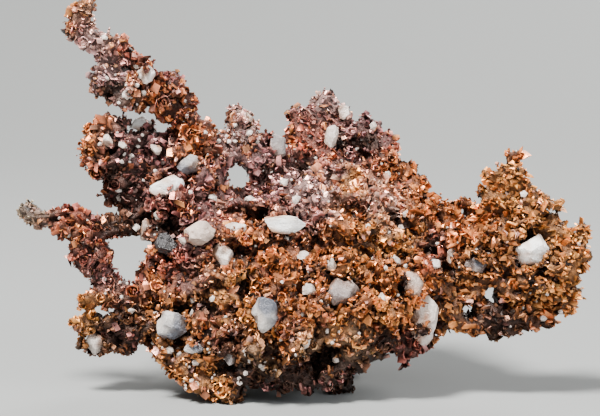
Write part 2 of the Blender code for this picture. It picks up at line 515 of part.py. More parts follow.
def main():
    clear_scene()
    copper = build_copper()
    grains, sockets = build_grains(copper)
    combine(copper, "DIFFERENCE", sockets)
    keep_largest_shell(copper)
    thin_out(copper, COPPER_FACETS)
    combine(copper, "DIFFERENCE", floor_block())
    keep_largest_shell(copper)
    centre_over_origin([copper, *grains])
    materials = make_materials()
    copper.data.materials.clear()
    copper.data.materials.append(materials["copper"])
    for piece, kind in grains.items():
        piece.data.materials.append(materials[kind])


main()
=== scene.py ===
"""The native copper nugget's visual model: thousands of small copper crystals, and quartz grains."""

import math

import bmesh
import bpy
import numpy as np
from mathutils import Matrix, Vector, noise
from mathutils.bvhtree import BVHTree


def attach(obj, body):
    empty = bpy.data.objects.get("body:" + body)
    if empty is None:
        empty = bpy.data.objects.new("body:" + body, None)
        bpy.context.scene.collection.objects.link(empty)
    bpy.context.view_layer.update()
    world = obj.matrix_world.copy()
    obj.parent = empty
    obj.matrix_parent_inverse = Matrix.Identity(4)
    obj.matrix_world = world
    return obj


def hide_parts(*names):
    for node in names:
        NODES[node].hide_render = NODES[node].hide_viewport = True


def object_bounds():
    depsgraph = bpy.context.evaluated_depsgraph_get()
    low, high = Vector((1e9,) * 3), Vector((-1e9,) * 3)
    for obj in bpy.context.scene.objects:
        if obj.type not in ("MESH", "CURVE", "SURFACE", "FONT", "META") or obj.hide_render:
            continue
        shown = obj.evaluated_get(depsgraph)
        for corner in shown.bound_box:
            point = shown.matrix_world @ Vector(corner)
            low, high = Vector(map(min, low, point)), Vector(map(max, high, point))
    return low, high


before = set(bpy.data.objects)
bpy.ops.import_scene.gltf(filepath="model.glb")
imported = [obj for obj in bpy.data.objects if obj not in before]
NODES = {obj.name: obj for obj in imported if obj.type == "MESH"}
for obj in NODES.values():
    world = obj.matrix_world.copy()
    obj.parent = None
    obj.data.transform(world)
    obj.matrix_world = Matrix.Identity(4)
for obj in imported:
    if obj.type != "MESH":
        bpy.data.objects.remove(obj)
CAD_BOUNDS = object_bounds()
MM = 0.001

# The front view, which colours and hollows are placed in: x is across and v is up, both in mm.
VIEW_ELEVATION = math.radians(7)
VIEW_AHEAD = Vector((0, math.cos(VIEW_ELEVATION), -math.sin(VIEW_ELEVATION)))
VIEW_UP = Vector((0, math.sin(VIEW_ELEVATION), math.cos(VIEW_ELEVATION)))

# Copper colours, linear RGB.
BRONZE = (0.48, 0.185, 0.060)
GOLD = (0.74, 0.295, 0.075)
ORANGE = (0.64, 0.20, 0.055)
BRICK = (0.42, 0.105, 0.055)
RUST = (0.25, 0.065, 0.040)
MAUVE = (0.33, 0.145, 0.135)
PINK = (0.58, 0.34, 0.30)
UMBER = (0.11, 0.045, 0.022)
PALE = (0.31, 0.23, 0.165)
SALMON = (0.74, 0.46, 0.38)
# Painted shade: a near-black brown for the bottom, the undersides of the lobes and the dark hollows.
PAINTED_SHADE = (0.050, 0.022, 0.013)
PLUM = (0.30, 0.110, 0.100)
LILAC = (0.55, 0.33, 0.31)
OLIVE = (0.58, 0.31, 0.145)
ASH = (0.40, 0.34, 0.31)
# Dark oxide with painted shade, blended into copper that is shut in, creased or hollowed.
SHADE_AND_TARNISH = (0.034, 0.015, 0.010)

# What darkens quartz: the slate of two-tone grains, and the copper's stain, which multiplies.
SLATE = (0.085, 0.095, 0.125)
STAIN = (0.50, 0.30, 0.20)

# (x, v, radius, colour): patches of colour, as seen from the front.
# The near-black and dark brown patches at the bottom, under the lobes and the arm, and in the hollows are
# painted shade.
ZONES = [
    (-14.9, 25.3, 1.6, BRONZE),
    (-13.4, 23.6, 1.6, PINK),
    (-13.9, 21.3, 1.6, LILAC),
    (-12.0, 23.4, 0.9, ORANGE),
    (-11.2, 22.2, 1.3, BRICK),
    (-11.6, 20.7, 1.1, LILAC),
    (-12.4, 19.4, 1.3, ASH),
    (-10.6, 19.4, 1.0, ORANGE),
    (-9.2, 20.8, 1.3, PLUM),
    (-8.6, 19.4, 1.3, UMBER),
    (-9.6, 20.4, 0.8, UMBER),
    (-7.9, 18.2, 1.4, RUST),
    (-13.3, 18.4, 1.2, ORANGE),
    (-14.2, 16.4, 1.5, ORANGE),
    (-13.6, 13.9, 1.7, RUST),
    (-12.0, 16.5, 1.6, MAUVE),
    (-18.9, 12.6, 1.2, PALE),
    (-17.2, 11.8, 1.0, PALE),
    (-15.6, 11.6, 1.7, BRICK),
    (-12.0, 11.6, 1.6, UMBER),
    (-11.4, 12.5, 0.9, PAINTED_SHADE),
    (-9.1, 10.6, 1.2, PAINTED_SHADE),
    (-14.4, 9.0, 1.9, RUST),
    (-14.8, 10.4, 1.0, BRONZE),
    (-13.6, 7.4, 1.2, MAUVE),
    (-14.2, 6.0, 1.2, GOLD),
    (-14.4, 4.6, 1.2, GOLD),
    (-12.4, 3.4, 1.8, UMBER),
    (-9.6, 14.6, 2.2, MAUVE),
    (-7.4, 16.6, 1.4, ORANGE),
    (-8.6, 12.6, 1.4, BRICK),
    (-4.6, 17.0, 1.2, PINK),
    (-4.2, 18.6, 1.3, SALMON),
    (-3.2, 15.4, 1.4, MAUVE),
    (-5.2, 13.6, 2.4, MAUVE),
    (-7.0, 10.6, 2.2, MAUVE),
    (-8.8, 8.4, 1.4, BRICK),
    (-7.4, 7.6, 1.4, MAUVE),
    (-8.8, 6.4, 1.2, ORANGE),
    (-4.0, 10.4, 2.0, ORANGE),
    (-0.6, 11.2, 1.2, MAUVE),
    (-2.4, 13.2, 1.6, MAUVE),
    (0.6, 13.6, 1.6, PINK),
    (-1.4, 9.6, 2.0, ORANGE),
    (-5.0, 6.6, 2.0, GOLD),
    (-7.6, 4.4, 2.0, BRONZE),
    (-8.4, 2.4, 1.4, BRONZE),
    (-7.4, 0.8, 1.2, GOLD),
    (-5.6, 0.3, 1.1, GOLD),
    (-4.8, 2.7, 1.0, UMBER),
    (-3.9, 1.4, 1.1, PAINTED_SHADE),
    (-1.4, 5.4, 2.2, ORANGE),
    (0.4, 0.5, 2.5, PAINTED_SHADE),
    (-3.0, 0.4, 1.5, PAINTED_SHADE),
    (-2.5, 2.2, 1.0, OLIVE),
    (-0.7, 2.8, 0.9, BRONZE),
    (0.6, 3.6, 1.0, OLIVE),
    (1.0, 1.9, 0.9, OLIVE),
    (2.8, 6.2, 1.2, ORANGE),
    (2.2, 4.8, 1.0, GOLD),
    (-4.1, 5.8, 1.1, GOLD),
    (-1.5, 5.2, 0.9, GOLD),
    (-5.8, 4.7, 1.1, ORANGE),
    (3.2, 0.9, 1.4, PAINTED_SHADE),
    (2.9, 2.8, 1.0, OLIVE),
    (4.4, 3.4, 0.9, OLIVE),
    (5.5, 3.2, 0.6, PAINTED_SHADE),
    (2.6, 9.8, 1.4, ORANGE),
    (4.4, 9.0, 1.4, GOLD),
    (3.2, 13.6, 1.0, GOLD),
    (3.6, 12.4, 1.0, MAUVE),
    (0.6, 17.2, 1.8, BRICK),
    (1.6, 19.2, 1.8, PINK),
    (4.6, 17.0, 1.8, MAUVE),
    (6.6, 15.0, 1.6, ORANGE),
    (6.2, 10.6, 1.6, GOLD),
    (4.4, 11.2, 1.5, GOLD),
    (5.6, 12.4, 1.4, SALMON),
    (8.0, 13.0, 1.6, ORANGE),
    (6.4, 7.2, 1.8, ORANGE),
    (6.1, 5.8, 1.2, GOLD),
    (6.8, 3.4, 1.0, RUST),
    (10.4, 11.6, 1.6, ORANGE),
    (9.0, 9.6, 1.1, RUST),
    (12.4, 9.2, 2.0, BRONZE),
    (11.8, 6.0, 2.0, BRONZE),
    (14.6, 13.4, 1.8, GOLD),
    (14.4, 15.6, 1.2, ORANGE),
    (16.6, 10.8, 2.0, GOLD),
    (14.6, 8.4, 2.0, BRONZE),
    (15.6, 6.4, 1.8, GOLD),
    (13.0, 4.6, 1.9, UMBER),
    (15.2, 4.8, 1.2, RUST),
]

# (x, z, radius): where daylight passes through, so no crystal stands there.
OPENINGS = [
    (-12.3, 9.7, 0.60),
    (-11.6, 9.6, 0.90),
    (-11.5, 8.9, 0.55),
    (-11.5, 8.2, 0.30),
    (-4.5, 14.7, 0.40),
    (-4.2, 14.0, 0.60),
    (12.4, 7.0, 0.45),
    (10.8, 5.7, 0.30),
]

# (x, v, radius, depth): hollows in the front face, in mm, sunk into the skin and darkened with painted
# shade.
HOLLOWS = [
    (-9.1, 10.6, 1.1, 0.9),
    (-12.6, 14.0, 1.2, 0.15),
    (-3.9, 7.1, 0.6, 0.9),
    (-6.6, 5.9, 0.5, 0.7),
    (4.4, 16.5, 1.1, 0.6),
    (2.6, 16.7, 0.9, 0.6),
    (-0.6, 1.3, 1.2, 0.5),
    (-4.0, 1.3, 0.9, 0.4),
    (-4.9, 2.6, 0.6, 0.7),
    (-5.9, 5.5, 0.5, 0.6),
    (5.4, 3.3, 0.6, 0.5),
    (12.8, 4.6, 1.2, 0.7),
    (6.1, 11.5, 0.6, 0.7),
    (1.0, 10.1, 0.7, 0.7),
    (-12.6, 3.4, 0.9, 0.15),
    (-12.6, 19.8, 0.8, 0.1),
    (8.6, 9.4, 0.6, 0.6),
    (15.5, 9.6, 0.6, 0.5),
    (-2.6, 14.6, 0.6, 0.6),
]

# (x, y, z, radius): copper that closes small gaps, in mm.
FILLS = [
    (-1.9, 1.6, 14.6, 1.00),
    (-3.0, 1.6, 14.5, 0.85),
    (-3.1, 1.8, 13.6, 0.80),
    (-5.5, 1.8, 14.6, 0.60),
    (-2.1, 1.8, 15.4, 0.80),
    (-13.4, -0.6, 20.3, 0.80),
    (-12.5, -0.6, 20.0, 0.80),
    (-11.6, -0.5, 19.7, 0.85),
    (-10.7, -0.4, 19.4, 0.80),
    (-14.1, 0.0, 17.3, 0.85),
    (-14.1, 0.0, 15.5, 0.90),
    (-13.8, 0.0, 14.8, 0.85),
    (-12.8, 0.0, 14.0, 0.85),
    (-12.6, -0.2, 13.3, 0.85),
    (-18.5, -1.0, 12.3, 0.55),
    (-18.1, -1.0, 11.9, 0.70),
    (-17.4, -1.0, 11.6, 0.80),
    (-16.6, -1.0, 11.5, 0.85),
    (-15.8, -1.0, 11.4, 0.90),
    (-15.0, -0.8, 9.9, 0.80),
    (-15.0, -0.7, 8.9, 0.80),
    (-13.3, -1.0, 6.1, 0.85),
    (-13.8, -1.0, 3.7, 0.70),
    (-12.9, -1.0, 3.4, 0.80),
    (-12.1, -1.0, 3.2, 0.80),
    (-9.8, -2.2, 3.5, 0.90),
    (-9.2, -2.4, 2.6, 0.90),
    (-8.4, -2.6, 1.8, 0.90),
    (13.5, -2.3, 7.0, 1.10),
    (11.8, -2.2, 6.1, 0.60),
    (9.4, -2.0, 4.8, 0.85),
    (10.4, -2.0, 4.8, 0.80),
    (11.2, -2.0, 4.9, 0.75),
]

# The copper's surface, in mm: its faces, its lumps, and how far each form goes in or out.
SKIN_VOXEL = 0.21
LUMP_SIZE = 1.7
PIT_SIZE = 0.75
SWELL_SIZE = 1.3
SKIN_SINK = 0.10
JOINT_DEPTH = 0.55
KNOB_HEIGHT = 0.30
PIT_DEPTH = 0.22
SWELL_HEIGHT = 0.12
MOST_PROUD = 0.16
RIM_SINK = 0.05
RIM_WIDTH = 0.8
# How deep a crease may go, for how thick the copper is.
THICKNESSES = (0.3, 1.5, 2.5, 3.0)
DEEPEST = (0.04, 0.22, 0.60, 2.0)

# Where the spire and the wing are, in mm, and how much the wing's noise is flattened.
SPIRE_FOOT = 18
SPIRE_RIGHT = -7
WING_START = 6
WING_BLEND = 6
WING_FLATTENING = 1.1
# The wing's tip bends over: from this height, over this height, by this much at its end.
TIP_LEFT = 11.5
TIP_FOOT = 12.5
TIP_HEIGHT = 4
TIP_BEND = np.array([-1.15, 0, -0.15])

# The crystals: how many, and their sizes in mm.
CRYSTAL_SEED = 11
CRYSTAL_COUNT = 39500
CRYSTAL_SIZE = 0.150
SIZE_SPREAD = 0.38
SIZE_LIMITS = (0.07, 0.38)
PATCH_COUNT = 1500
TONE_COUNT = 1100
TWIG_COUNT = 700
TWIG_STEPS = 4
RIM_TRIES = 420
ROSETTE_COUNT = 420
# Each ring of a rosette: its number of curls, its radius and their size, in mm.
ROSETTE_RINGS = ((5, 0.26, 0.20), (3, 0.10, 0.12))
# Which way the wing's leaves face.
LAYER_NORMAL = np.array([0.15, -0.25, 1.0])
# How far off other copper shades a crystal, in mm, and how many crystals are tried for the outside.
OPEN_REACH = 2.6
OUTER_TRIES = 9000
# The height over which a crystal goes from painted shade at its root to a painted highlight at its tip, in
# mm, and its brightest channel.
GLOW_HEIGHT = 0.16
BRIGHTEST = 0.90

# The crystals' pieces from left to right, and where they are split, in mm.
PIECES = ("arm", "shoulder", "left", "middle", "right", "neck", "wing")
PIECE_SPLITS = (-10.0, -6.2, -2.4, 1.4, 5.6, 10.5)


def mesh_arrays(obj):
    """The points and triangles of an object's mesh."""
    mesh = obj.data
    mesh.calc_loop_triangles()
    points = np.empty(len(mesh.vertices) * 3)
    mesh.vertices.foreach_get("co", points)
    tris = np.empty(len(mesh.loop_triangles) * 3, np.int32)
    mesh.loop_triangles.foreach_get("vertices", tris)
    return points.reshape(-1, 3), tris.reshape(-1, 3)


def add_mesh(name, points, tris, smooth):
    """A new mesh object from arrays of points and triangles."""
    mesh = bpy.data.meshes.new(name)
    mesh.vertices.add(len(points))
    mesh.vertices.foreach_set("co", np.asarray(points, np.float32).ravel())
    mesh.loops.add(len(tris) * 3)
    mesh.loops.foreach_set("vertex_index", np.asarray(tris, np.int32).ravel())
    mesh.polygons.add(len(tris))
    mesh.polygons.foreach_set("loop_start", np.arange(0, len(tris) * 3, 3, dtype=np.int32))
    mesh.polygons.foreach_set("use_smooth", np.full(len(tris), smooth))
    mesh.update(calc_edges=True)
    obj = bpy.data.objects.new(name, mesh)
    bpy.context.scene.collection.objects.link(obj)
    return obj


def store_colour(obj, name, colours):
    """Keep one colour for each point of the mesh."""
    layer = obj.data.color_attributes.new(name, "FLOAT_COLOR", "POINT")
    rgba = np.ones((len(obj.data.vertices), 4), np.float32)
    rgba[:, :3] = colours
    layer.data.foreach_set("color", rgba.ravel())


def unit(vectors):
    """The same vectors with length one."""
    return vectors / np.maximum(np.linalg.norm(vectors, axis=-1, keepdims=True), 1e-12)


def perlin(points, scale, shift):
    """Smooth noise from -1 to 1 at each point, with lumps about scale mm across."""
    offset = Vector((shift, shift * 1.7, shift * 0.6))
    factor = 1 / (scale * MM)
    return np.array([noise.noise(Vector(p) * factor + offset) for p in points])


def cells(points, scale, shift):
    """For cells about scale mm across: shares that are 1 at their joints, and 1 at their middles."""
    offset = Vector((shift, shift * 0.4, shift * 1.3))
    factor = 1 / (scale * MM)
    first, second = np.empty((2, len(points)))
    for i, p in enumerate(points):
        first[i], second[i] = noise.voronoi(Vector(p) * factor + offset)[0][:2]
    return 1 - np.clip((second - first) / 0.35, 0, 1), 1 - np.clip(first / 0.65, 0, 1) ** 2


def triangle_normals(points, tris):
    """The triangles' normals, each as long as twice its area."""
    a, b, c = points[tris[:, 0]], points[tris[:, 1]], points[tris[:, 2]]
    return np.cross(b - a, c - a)


def point_normals(points, tris):
    """Area-weighted normals of the points."""
    normals = triangle_normals(points, tris)
    sums = np.zeros_like(points)
    for corner in range(3):
        np.add.at(sums, tris[:, corner], normals)
    return unit(sums)


def smoothed(points, tris, times):
    """Each point moved half-way to the middle of its neighbours, times over."""
    for _ in range(times):
        sums = np.zeros_like(points)
        count = np.zeros(len(points))
        for a, b in ((0, 1), (1, 2), (2, 0)):
            np.add.at(sums, tris[:, a], points[tris[:, b]])
            np.add.at(sums, tris[:, b], points[tris[:, a]])
            np.add.at(count, tris[:, a], 1)
            np.add.at(count, tris[:, b], 1)
        points = 0.5 * points + 0.5 * sums / count[:, None]
    return points


def thickness(points, tris, normals, most):
    """How thick the copper is under each point, up to most, in mm."""
    tree = BVHTree.FromPolygons(points.tolist(), tris.tolist())
    found = np.full(len(points), most)
    for i, (point, normal) in enumerate(zip(points, normals, strict=True)):
        hit = tree.ray_cast(Vector(point - normal * 0.02 * MM), Vector(-normal), most * MM)
        if hit[0] is not None:
            found[i] = hit[3] / MM
    return found


def remeshed_copper():
    """The CAD copper as even small faces, with small gaps filled, as points and triangles."""
    points, tris = mesh_arrays(NODES["copper"])
    ball, ball_tris = twenty_faces()
    for x, y, z, radius in FILLS:
        tris = np.concatenate([tris, ball_tris + len(points)])
        points = np.concatenate([points, (ball * radius + (x, y, z)) * MM])
    rough = add_mesh("rough_copper", points, tris, False)
    remesh = rough.modifiers.new("Remesh", "REMESH")
    remesh.mode = "VOXEL"
    remesh.voxel_size = SKIN_VOXEL * MM
    graph = bpy.context.evaluated_depsgraph_get()
    even = bpy.data.meshes.new_from_object(rough.evaluated_get(graph))
    rough.data = even
    points, tris = mesh_arrays(rough)
    bpy.data.objects.remove(rough)
    return bend_tip(points), tris


def bend_tip(points):
    """The points with the tip of the wing bent over to the left."""
    rise = np.clip((points[:, 2] / MM - TIP_FOOT) / TIP_HEIGHT, 0, 1) ** 1.4
    rise = rise * (points[:, 0] > TIP_LEFT * MM)
    return points + rise[:, None] * TIP_BEND * MM


def spire_share(places):
    """1 on the spire at the upper left, 0 elsewhere."""
    above = np.clip(places[:, 2] / MM - SPIRE_FOOT, 0, 1)
    return above * np.clip(SPIRE_RIGHT - places[:, 0] / MM, 0, 1)


def wing_share(places):
    """0 on the left and middle, rising to 1 on the wing at the right."""
    return np.clip((places[:, 0] / MM - WING_START) / WING_BLEND, 0, 1)


def lumps(points):
    """1 at the joints between the copper's lumps, and 1 at the lumps' middles; flat layers on the wing."""
    stretch = np.ones_like(points)
    stretch[:, 2] += WING_FLATTENING * wing_share(points)
    return cells(points * stretch, LUMP_SIZE, 2.0)


def seen_from_front(places):
    """How far across and how far up the front view each place is, in mm."""
    up = places[:, 2] * math.cos(VIEW_ELEVATION) + places[:, 1] * math.sin(VIEW_ELEVATION)
    return places[:, 0] / MM, up / MM


# The openness rays lean upwards, so undersides count as shut in and take more painted shade.
SKYWARD = np.array([0, 0, 0.55])


def openness(tree, places, normals, reach, rays=14):
    """The share of directions above the surface that are free for reach mm, for each place."""
    free = np.zeros(len(places))
    spread = unit(np.random.default_rng(5).normal(size=(rays, 3)))
    for i, (place, normal) in enumerate(zip(places, normals, strict=True)):
        start = Vector(place + normal * 0.25 * MM)
        toward = unit(spread + normal * 1.1 + SKYWARD)
        free[i] = sum(tree.ray_cast(start, Vector(d), reach * MM)[0] is None for d in toward)
    return free / rays


def zone_colours(places):
    """The copper's colour at each place, from the zones and noise."""
    x, v = seen_from_front(places)
    x = x + 1.1 * perlin(places, 1.6, 3.1)
    v = v + 1.1 * perlin(places, 1.6, 9.4)
    total = np.zeros(len(places))
    colour = np.zeros((len(places), 3))
    for zone_x, zone_v, radius, rgb in ZONES:
        distance = ((x - zone_x) ** 2 + (v - zone_v) ** 2) / radius**2
        weight = np.exp(-distance * 1.5) + 1e-9
        total += weight
        colour += weight[:, None] * np.array(rgb)
    return colour / total[:, None]


def blend_to(colours, target, share):
    """The colours moved towards the target colour, each by its share."""
    return colours + (np.array(target) - colours) * np.clip(share, 0, 1)[:, None]


def hollow_share(places, normals):
    """How far into a listed hollow of the front face each place is, from 0 to 1, and its depth."""
    x, v = seen_from_front(places)
    facing = np.clip(-normals[:, 1] + 0.3, 0, 1)
    share = np.zeros(len(places))
    depth = np.zeros(len(places))
    for hollow_x, hollow_v, radius, deep in HOLLOWS:
        inside = np.exp(-(((x - hollow_x) ** 2 + (v - hollow_v) ** 2) / radius**2)) * facing
        share = np.maximum(share, inside)
        depth = np.maximum(depth, inside * deep)
    return share, depth


# Crystal shapes: points in a box of about -1 to 1, with z outwards, and triangles.
def fan(ring):
    """Triangles that fill a ring of points."""
    return [(ring[0], ring[i], ring[i + 1]) for i in range(1, len(ring) - 1)]


def prism(sides, top, thickness):
    """A plate of some sides whose top is smaller than its foot."""
    angle = 2 * math.pi * np.arange(sides) / sides
    foot = np.stack([np.cos(angle), np.sin(angle), np.full(sides, -thickness)], 1)
    head = np.stack([np.cos(angle) * top, np.sin(angle) * top, np.full(sides, thickness)], 1)
    low = list(range(sides))
    high = [i + sides for i in low]
    tris = fan(high) + [t[::-1] for t in fan(low)]
    for i in low:
        j = (i + 1) % sides
        tris += [(low[i], low[j], high[j]), (low[i], high[j], high[i])]
    return np.concatenate([foot, head]), np.array(tris)


def octahedron():
    """A crystal with a point at each end."""
    points = np.array([(1, 0, 0), (0, 1, 0), (-1, 0, 0), (0, -1, 0), (0, 0, 1), (0, 0, -1)], float)
    tris = []
    for i in range(4):
        j = (i + 1) % 4
        tris += [(i, j, 4), (j, i, 5)]
    return points, np.array(tris)


def curl():
    """A thin strip bent round an arc, standing on one edge."""
    angle = np.radians([-65, 0, 65])
    inner = np.stack([np.sin(angle) * 0.72, np.cos(angle) * 0.72 - 0.5], 1)
    outer = np.stack([np.sin(angle), np.cos(angle) - 0.5], 1)
    points = []
    for height in (-1.0, 1.0):
        for x, y in (*inner, *outer):
            points.append((x, y, height * (1 - 0.25 * abs(x))))
    tris = []
    for i in range(2):
        a, b, c, d = i, i + 1, i + 6, i + 7
        tris += [(a, c, d), (a, d, b)]
        a, b, c, d = i + 3, i + 4, i + 9, i + 10
        tris += [(a, d, c), (a, b, d)]
        tris += [(i + 6, i + 9, i + 10), (i + 6, i + 10, i + 7)]
    for a, b in ((0, 3), (5, 2)):
        tris += [(a, b, b + 6), (a, b + 6, a + 6)]
    return np.array(points), np.array(tris)


def twenty_faces():
    """A rounded nub of twenty triangles."""
    ball = bmesh.new()
    bmesh.ops.create_icosphere(ball, subdivisions=1, radius=1)
    points = np.array([v.co[:] for v in ball.verts])
    tris = np.array([[v.index for v in f.verts] for f in ball.faces])
    ball.free()
    return points, tris


# name: (points and triangles, how wide, long and high, jitter of the corners)
SHAPES = {
    "flake": (prism(5, 0.80, 1), (1.0, 0.78, 0.20), 0.20),
    "leaf": (prism(4, 0.60, 1), (1.35, 0.62, 0.20), 0.20),
    "block": (prism(4, 0.80, 1), (0.80, 0.72, 0.55), 0.16),
    "point": (octahedron(), (0.62, 0.55, 1.0), 0.16),
    "nub": (twenty_faces(), (0.80, 0.70, 0.62), 0.17),
    "curl": (curl(), (1.15, 1.0, 1.0), 0.13),
}
KINDS = list(SHAPES)

# How bright each point of a curl is: painted shade darkens its hollow side and a painted highlight lights
# its outer rim.
CURL_GLOW = np.repeat([0.30, 0.75, 0.60, 1.40], 3)


def frames(normals, lean, twist):
    """Turning matrices whose z is the normals leant over, and whose x follows twist."""
    z = unit(normals + lean)
    x = unit(twist - z * np.sum(twist * z, 1, keepdims=True))
    return np.stack([x, np.cross(z, x), z], 2)


def crystals(kind, places, turns, sizes, rng):
    """Joined crystals of one kind: points, triangles, and which crystal each point is of."""
    (shape, tris), scale, jitter = SHAPES[kind]
    count = len(places)
    points = shape[None] * (1 + rng.normal(0, jitter, (count, len(shape), 3)))
    points = points * np.array(scale) * rng.uniform(0.75, 1.25, (count, 1, 3))
    points = points * sizes[:, None, None] * MM
    points = np.einsum("nij,nkj->nki", turns, points) + places[:, None, :]
    steps = (np.arange(count) * len(shape))[:, None, None]
    owner = np.repeat(np.arange(count), len(shape))
    return points.reshape(-1, 3), (tris[None] + steps).reshape(-1, 3), owner


def scatter(points, tris, count, rng):
    """Random places on the triangles, even by area, with the triangle of each."""
    area = np.linalg.norm(triangle_normals(points, tris), axis=1)
    chosen = rng.choice(len(tris), count, p=area / area.sum())
    a, b = rng.random((2, count))
    over = a + b > 1
    a[over], b[over] = 1 - a[over], 1 - b[over]
    p, q, r = (points[tris[chosen, k]] for k in range(3))
    return p + (q - p) * a[:, None] + (r - p) * b[:, None], chosen


def nearest(places, seeds):
    """The number of the nearest seed to each place."""
    found = np.empty(len(places), int)
    for start in range(0, len(places), 2000):
        part = places[start : start + 2000]
        gap = ((part[:, None, :] - seeds[None]) ** 2).sum(2)
        found[start : start + 2000] = gap.argmin(1)
    return found


def in_opening(places, margin):
    """Which places stand in the daylight of an opening."""
    hit = np.zeros(len(places), bool)
    for x, z, radius in OPENINGS:
        across = np.hypot(places[:, 0] / MM - x, places[:, 2] / MM - z)
        hit |= across < radius + margin
    return hit


# ---------------------------------------------------------------- materials
def new_material(name):
    """A material, its node tree and its shader."""
    material = bpy.data.materials.new(name)
    material.use_nodes = True
    tree = material.node_tree
    return material, tree, tree.nodes["Principled BSDF"]


def node(tree, kind, **inputs):
    """A new shader node with its sockets set, by name with spaces as _."""
    made = tree.nodes.new(kind)
    for key, value in inputs.items():
        made.inputs[key.replace("_", " ")].default_value = value
    return made


def mix_colour(tree, blend_type, factor, a, b):
    """A colour mix; each of factor, a and b is a value or another node's output."""
    mix = tree.nodes.new("ShaderNodeMix")
    mix.data_type = "RGBA"
    mix.blend_type = blend_type
    for socket, value in ((mix.inputs[0], factor), (mix.inputs[6], a), (mix.inputs[7], b)):
        if isinstance(value, bpy.types.NodeSocket):
            tree.links.new(value, socket)
        else:
            socket.default_value = value
    return mix.outputs[2]


def to_range(tree, value, low, high, start=0.3, end=0.7):
    """The value's stretch from start to end, spread from low to high."""
    span = node(tree, "ShaderNodeMapRange", From_Min=start, From_Max=end, To_Min=low, To_Max=high)
    tree.links.new(value, span.inputs["Value"])
    return span.outputs["Result"]


def object_noise(tree, scale, detail=3.0, roughness=0.6):
    """Noise fixed to the object, with this many lumps a metre."""
    place = tree.nodes.new("ShaderNodeTexCoord")
    grain = node(tree, "ShaderNodeTexNoise", Scale=scale, Detail=detail, Roughness=roughness)
    tree.links.new(place.outputs["Object"], grain.inputs["Vector"])
    return grain.outputs["Fac"]


def add_bump(tree, shader, height, distance, strength):
    """A fine relief of the shader's surface, distance in metres."""
    bump = node(tree, "ShaderNodeBump", Distance=distance, Strength=strength)
    tree.links.new(height, bump.inputs["Height"])
    tree.links.new(bump.outputs["Normal"], shader.inputs["Normal"])


def mesh_value(tree, name):
    """The node that reads a colour kept on the mesh."""
    reader = tree.nodes.new("ShaderNodeAttribute")
    reader.attribute_name = name
    return reader


def copper_material(name, metallic, rough_low, rough_high, dim, lit, relief):
    """Tarnished copper: the tint kept on the mesh, mottled from dim to lit, with a fine uneven surface."""
    material, tree, shader = new_material(name)
    tint = mesh_value(tree, "tint")
    mottle = to_range(tree, object_noise(tree, 2600.0), dim, lit)
    shade = tree.nodes.new("ShaderNodeCombineColor")
    for channel in ("Red", "Green", "Blue"):
        tree.links.new(mottle, shade.inputs[channel])
    colour = mix_colour(tree, "MULTIPLY", 1.0, tint.outputs["Color"], shade.outputs["Color"])
    tree.links.new(colour, shader.inputs["Base Color"])
    fine = object_noise(tree, 5200.0, 4.0)
    tree.links.new(to_range(tree, fine, rough_low, rough_high), shader.inputs["Roughness"])
    shader.inputs["Metallic"].default_value = metallic
    add_bump(tree, shader, fine, relief, 0.5)
    return material


def quartz_material(name, light, dark, speck, cloud_scale, cover, clear):
    """Quartz, cloudy from light to dark and specked, with slate parts, and stained where copper is near."""
    material, tree, shader = new_material(name)
    cloud = to_range(tree, object_noise(tree, cloud_scale, 5.0, 0.7), 0.0, 1.0, 0.38, 0.62)
    body = mix_colour(tree, "MIX", cloud, (*light, 1), (*dark, 1))
    specks = to_range(tree, object_noise(tree, 3400.0, 3.0), 0.0, 1.0, cover, cover + 0.08)
    specked = mix_colour(tree, "MIX", specks, body, (*speck, 1))
    stain = mesh_value(tree, "stain")
    slate = mesh_value(tree, "slate")
    partly = mix_colour(tree, "MIX", slate.outputs["Fac"], specked, (*SLATE, 1))
    colour = mix_colour(tree, "MULTIPLY", stain.outputs["Fac"], partly, (*STAIN, 1))
    tree.links.new(colour, shader.inputs["Base Color"])
    shader.inputs["Roughness"].default_value = 0.30
    shader.inputs["IOR"].default_value = 1.544
    shader.inputs["Transmission Weight"].default_value = clear
    shader.inputs["Subsurface Weight"].default_value = 0.30
    shader.inputs["Subsurface Radius"].default_value = (0.0006, 0.0006, 0.0006)
    shader.inputs["Subsurface Scale"].default_value = 1.0
    add_bump(tree, shader, object_noise(tree, 3200.0, 5.0, 0.7), 0.0003, 0.6)
    return material


COPPER = copper_material("native_copper", 0.68, 0.26, 0.52, 0.72, 1.25, 0.00006)
UNDER_COPPER = copper_material("copper_recesses", 0.50, 0.35, 0.60, 0.25, 1.90, 0.00040)

# Each look's light, dark and speck colours, cloud scale, where its specks start, and how clear it is.
QUARTZ_LOOKS = {
    "bright": ((1.00, 0.98, 0.94), (0.94, 0.90, 0.85), (0.50, 0.40, 0.35), 600.0, 0.74, 0.00),
    "milky": ((0.80, 0.70, 0.62), (0.48, 0.40, 0.35), (0.34, 0.24, 0.20), 900.0, 0.66, 0.05),
    "buff": ((0.64, 0.50, 0.42), (0.36, 0.27, 0.22), (0.26, 0.17, 0.14), 900.0, 0.64, 0.05),
    "dull": ((0.36, 0.29, 0.26), (0.16, 0.12, 0.11), (0.09, 0.07, 0.06), 900.0, 0.62, 0.10),
    "grey": ((0.46, 0.41, 0.39), (0.20, 0.18, 0.18), (0.12, 0.10, 0.10), 900.0, 0.64, 0.15),
    "speckled": ((0.68, 0.62, 0.57), (0.36, 0.34, 0.33), (0.08, 0.08, 0.09), 800.0, 0.66, 0.10),
    # The smoky look is near black: dark quartz with painted shade, for the grain in the shadowed cavity.
    "smoky_shaded": ((0.026, 0.022, 0.023), (0.009, 0.007, 0.007), (0.004, 0.003, 0.003), 900.0, 0.55, 0.10),
}
QUARTZ = {look: quartz_material(look + "_quartz", *values) for look, values in QUARTZ_LOOKS.items()}


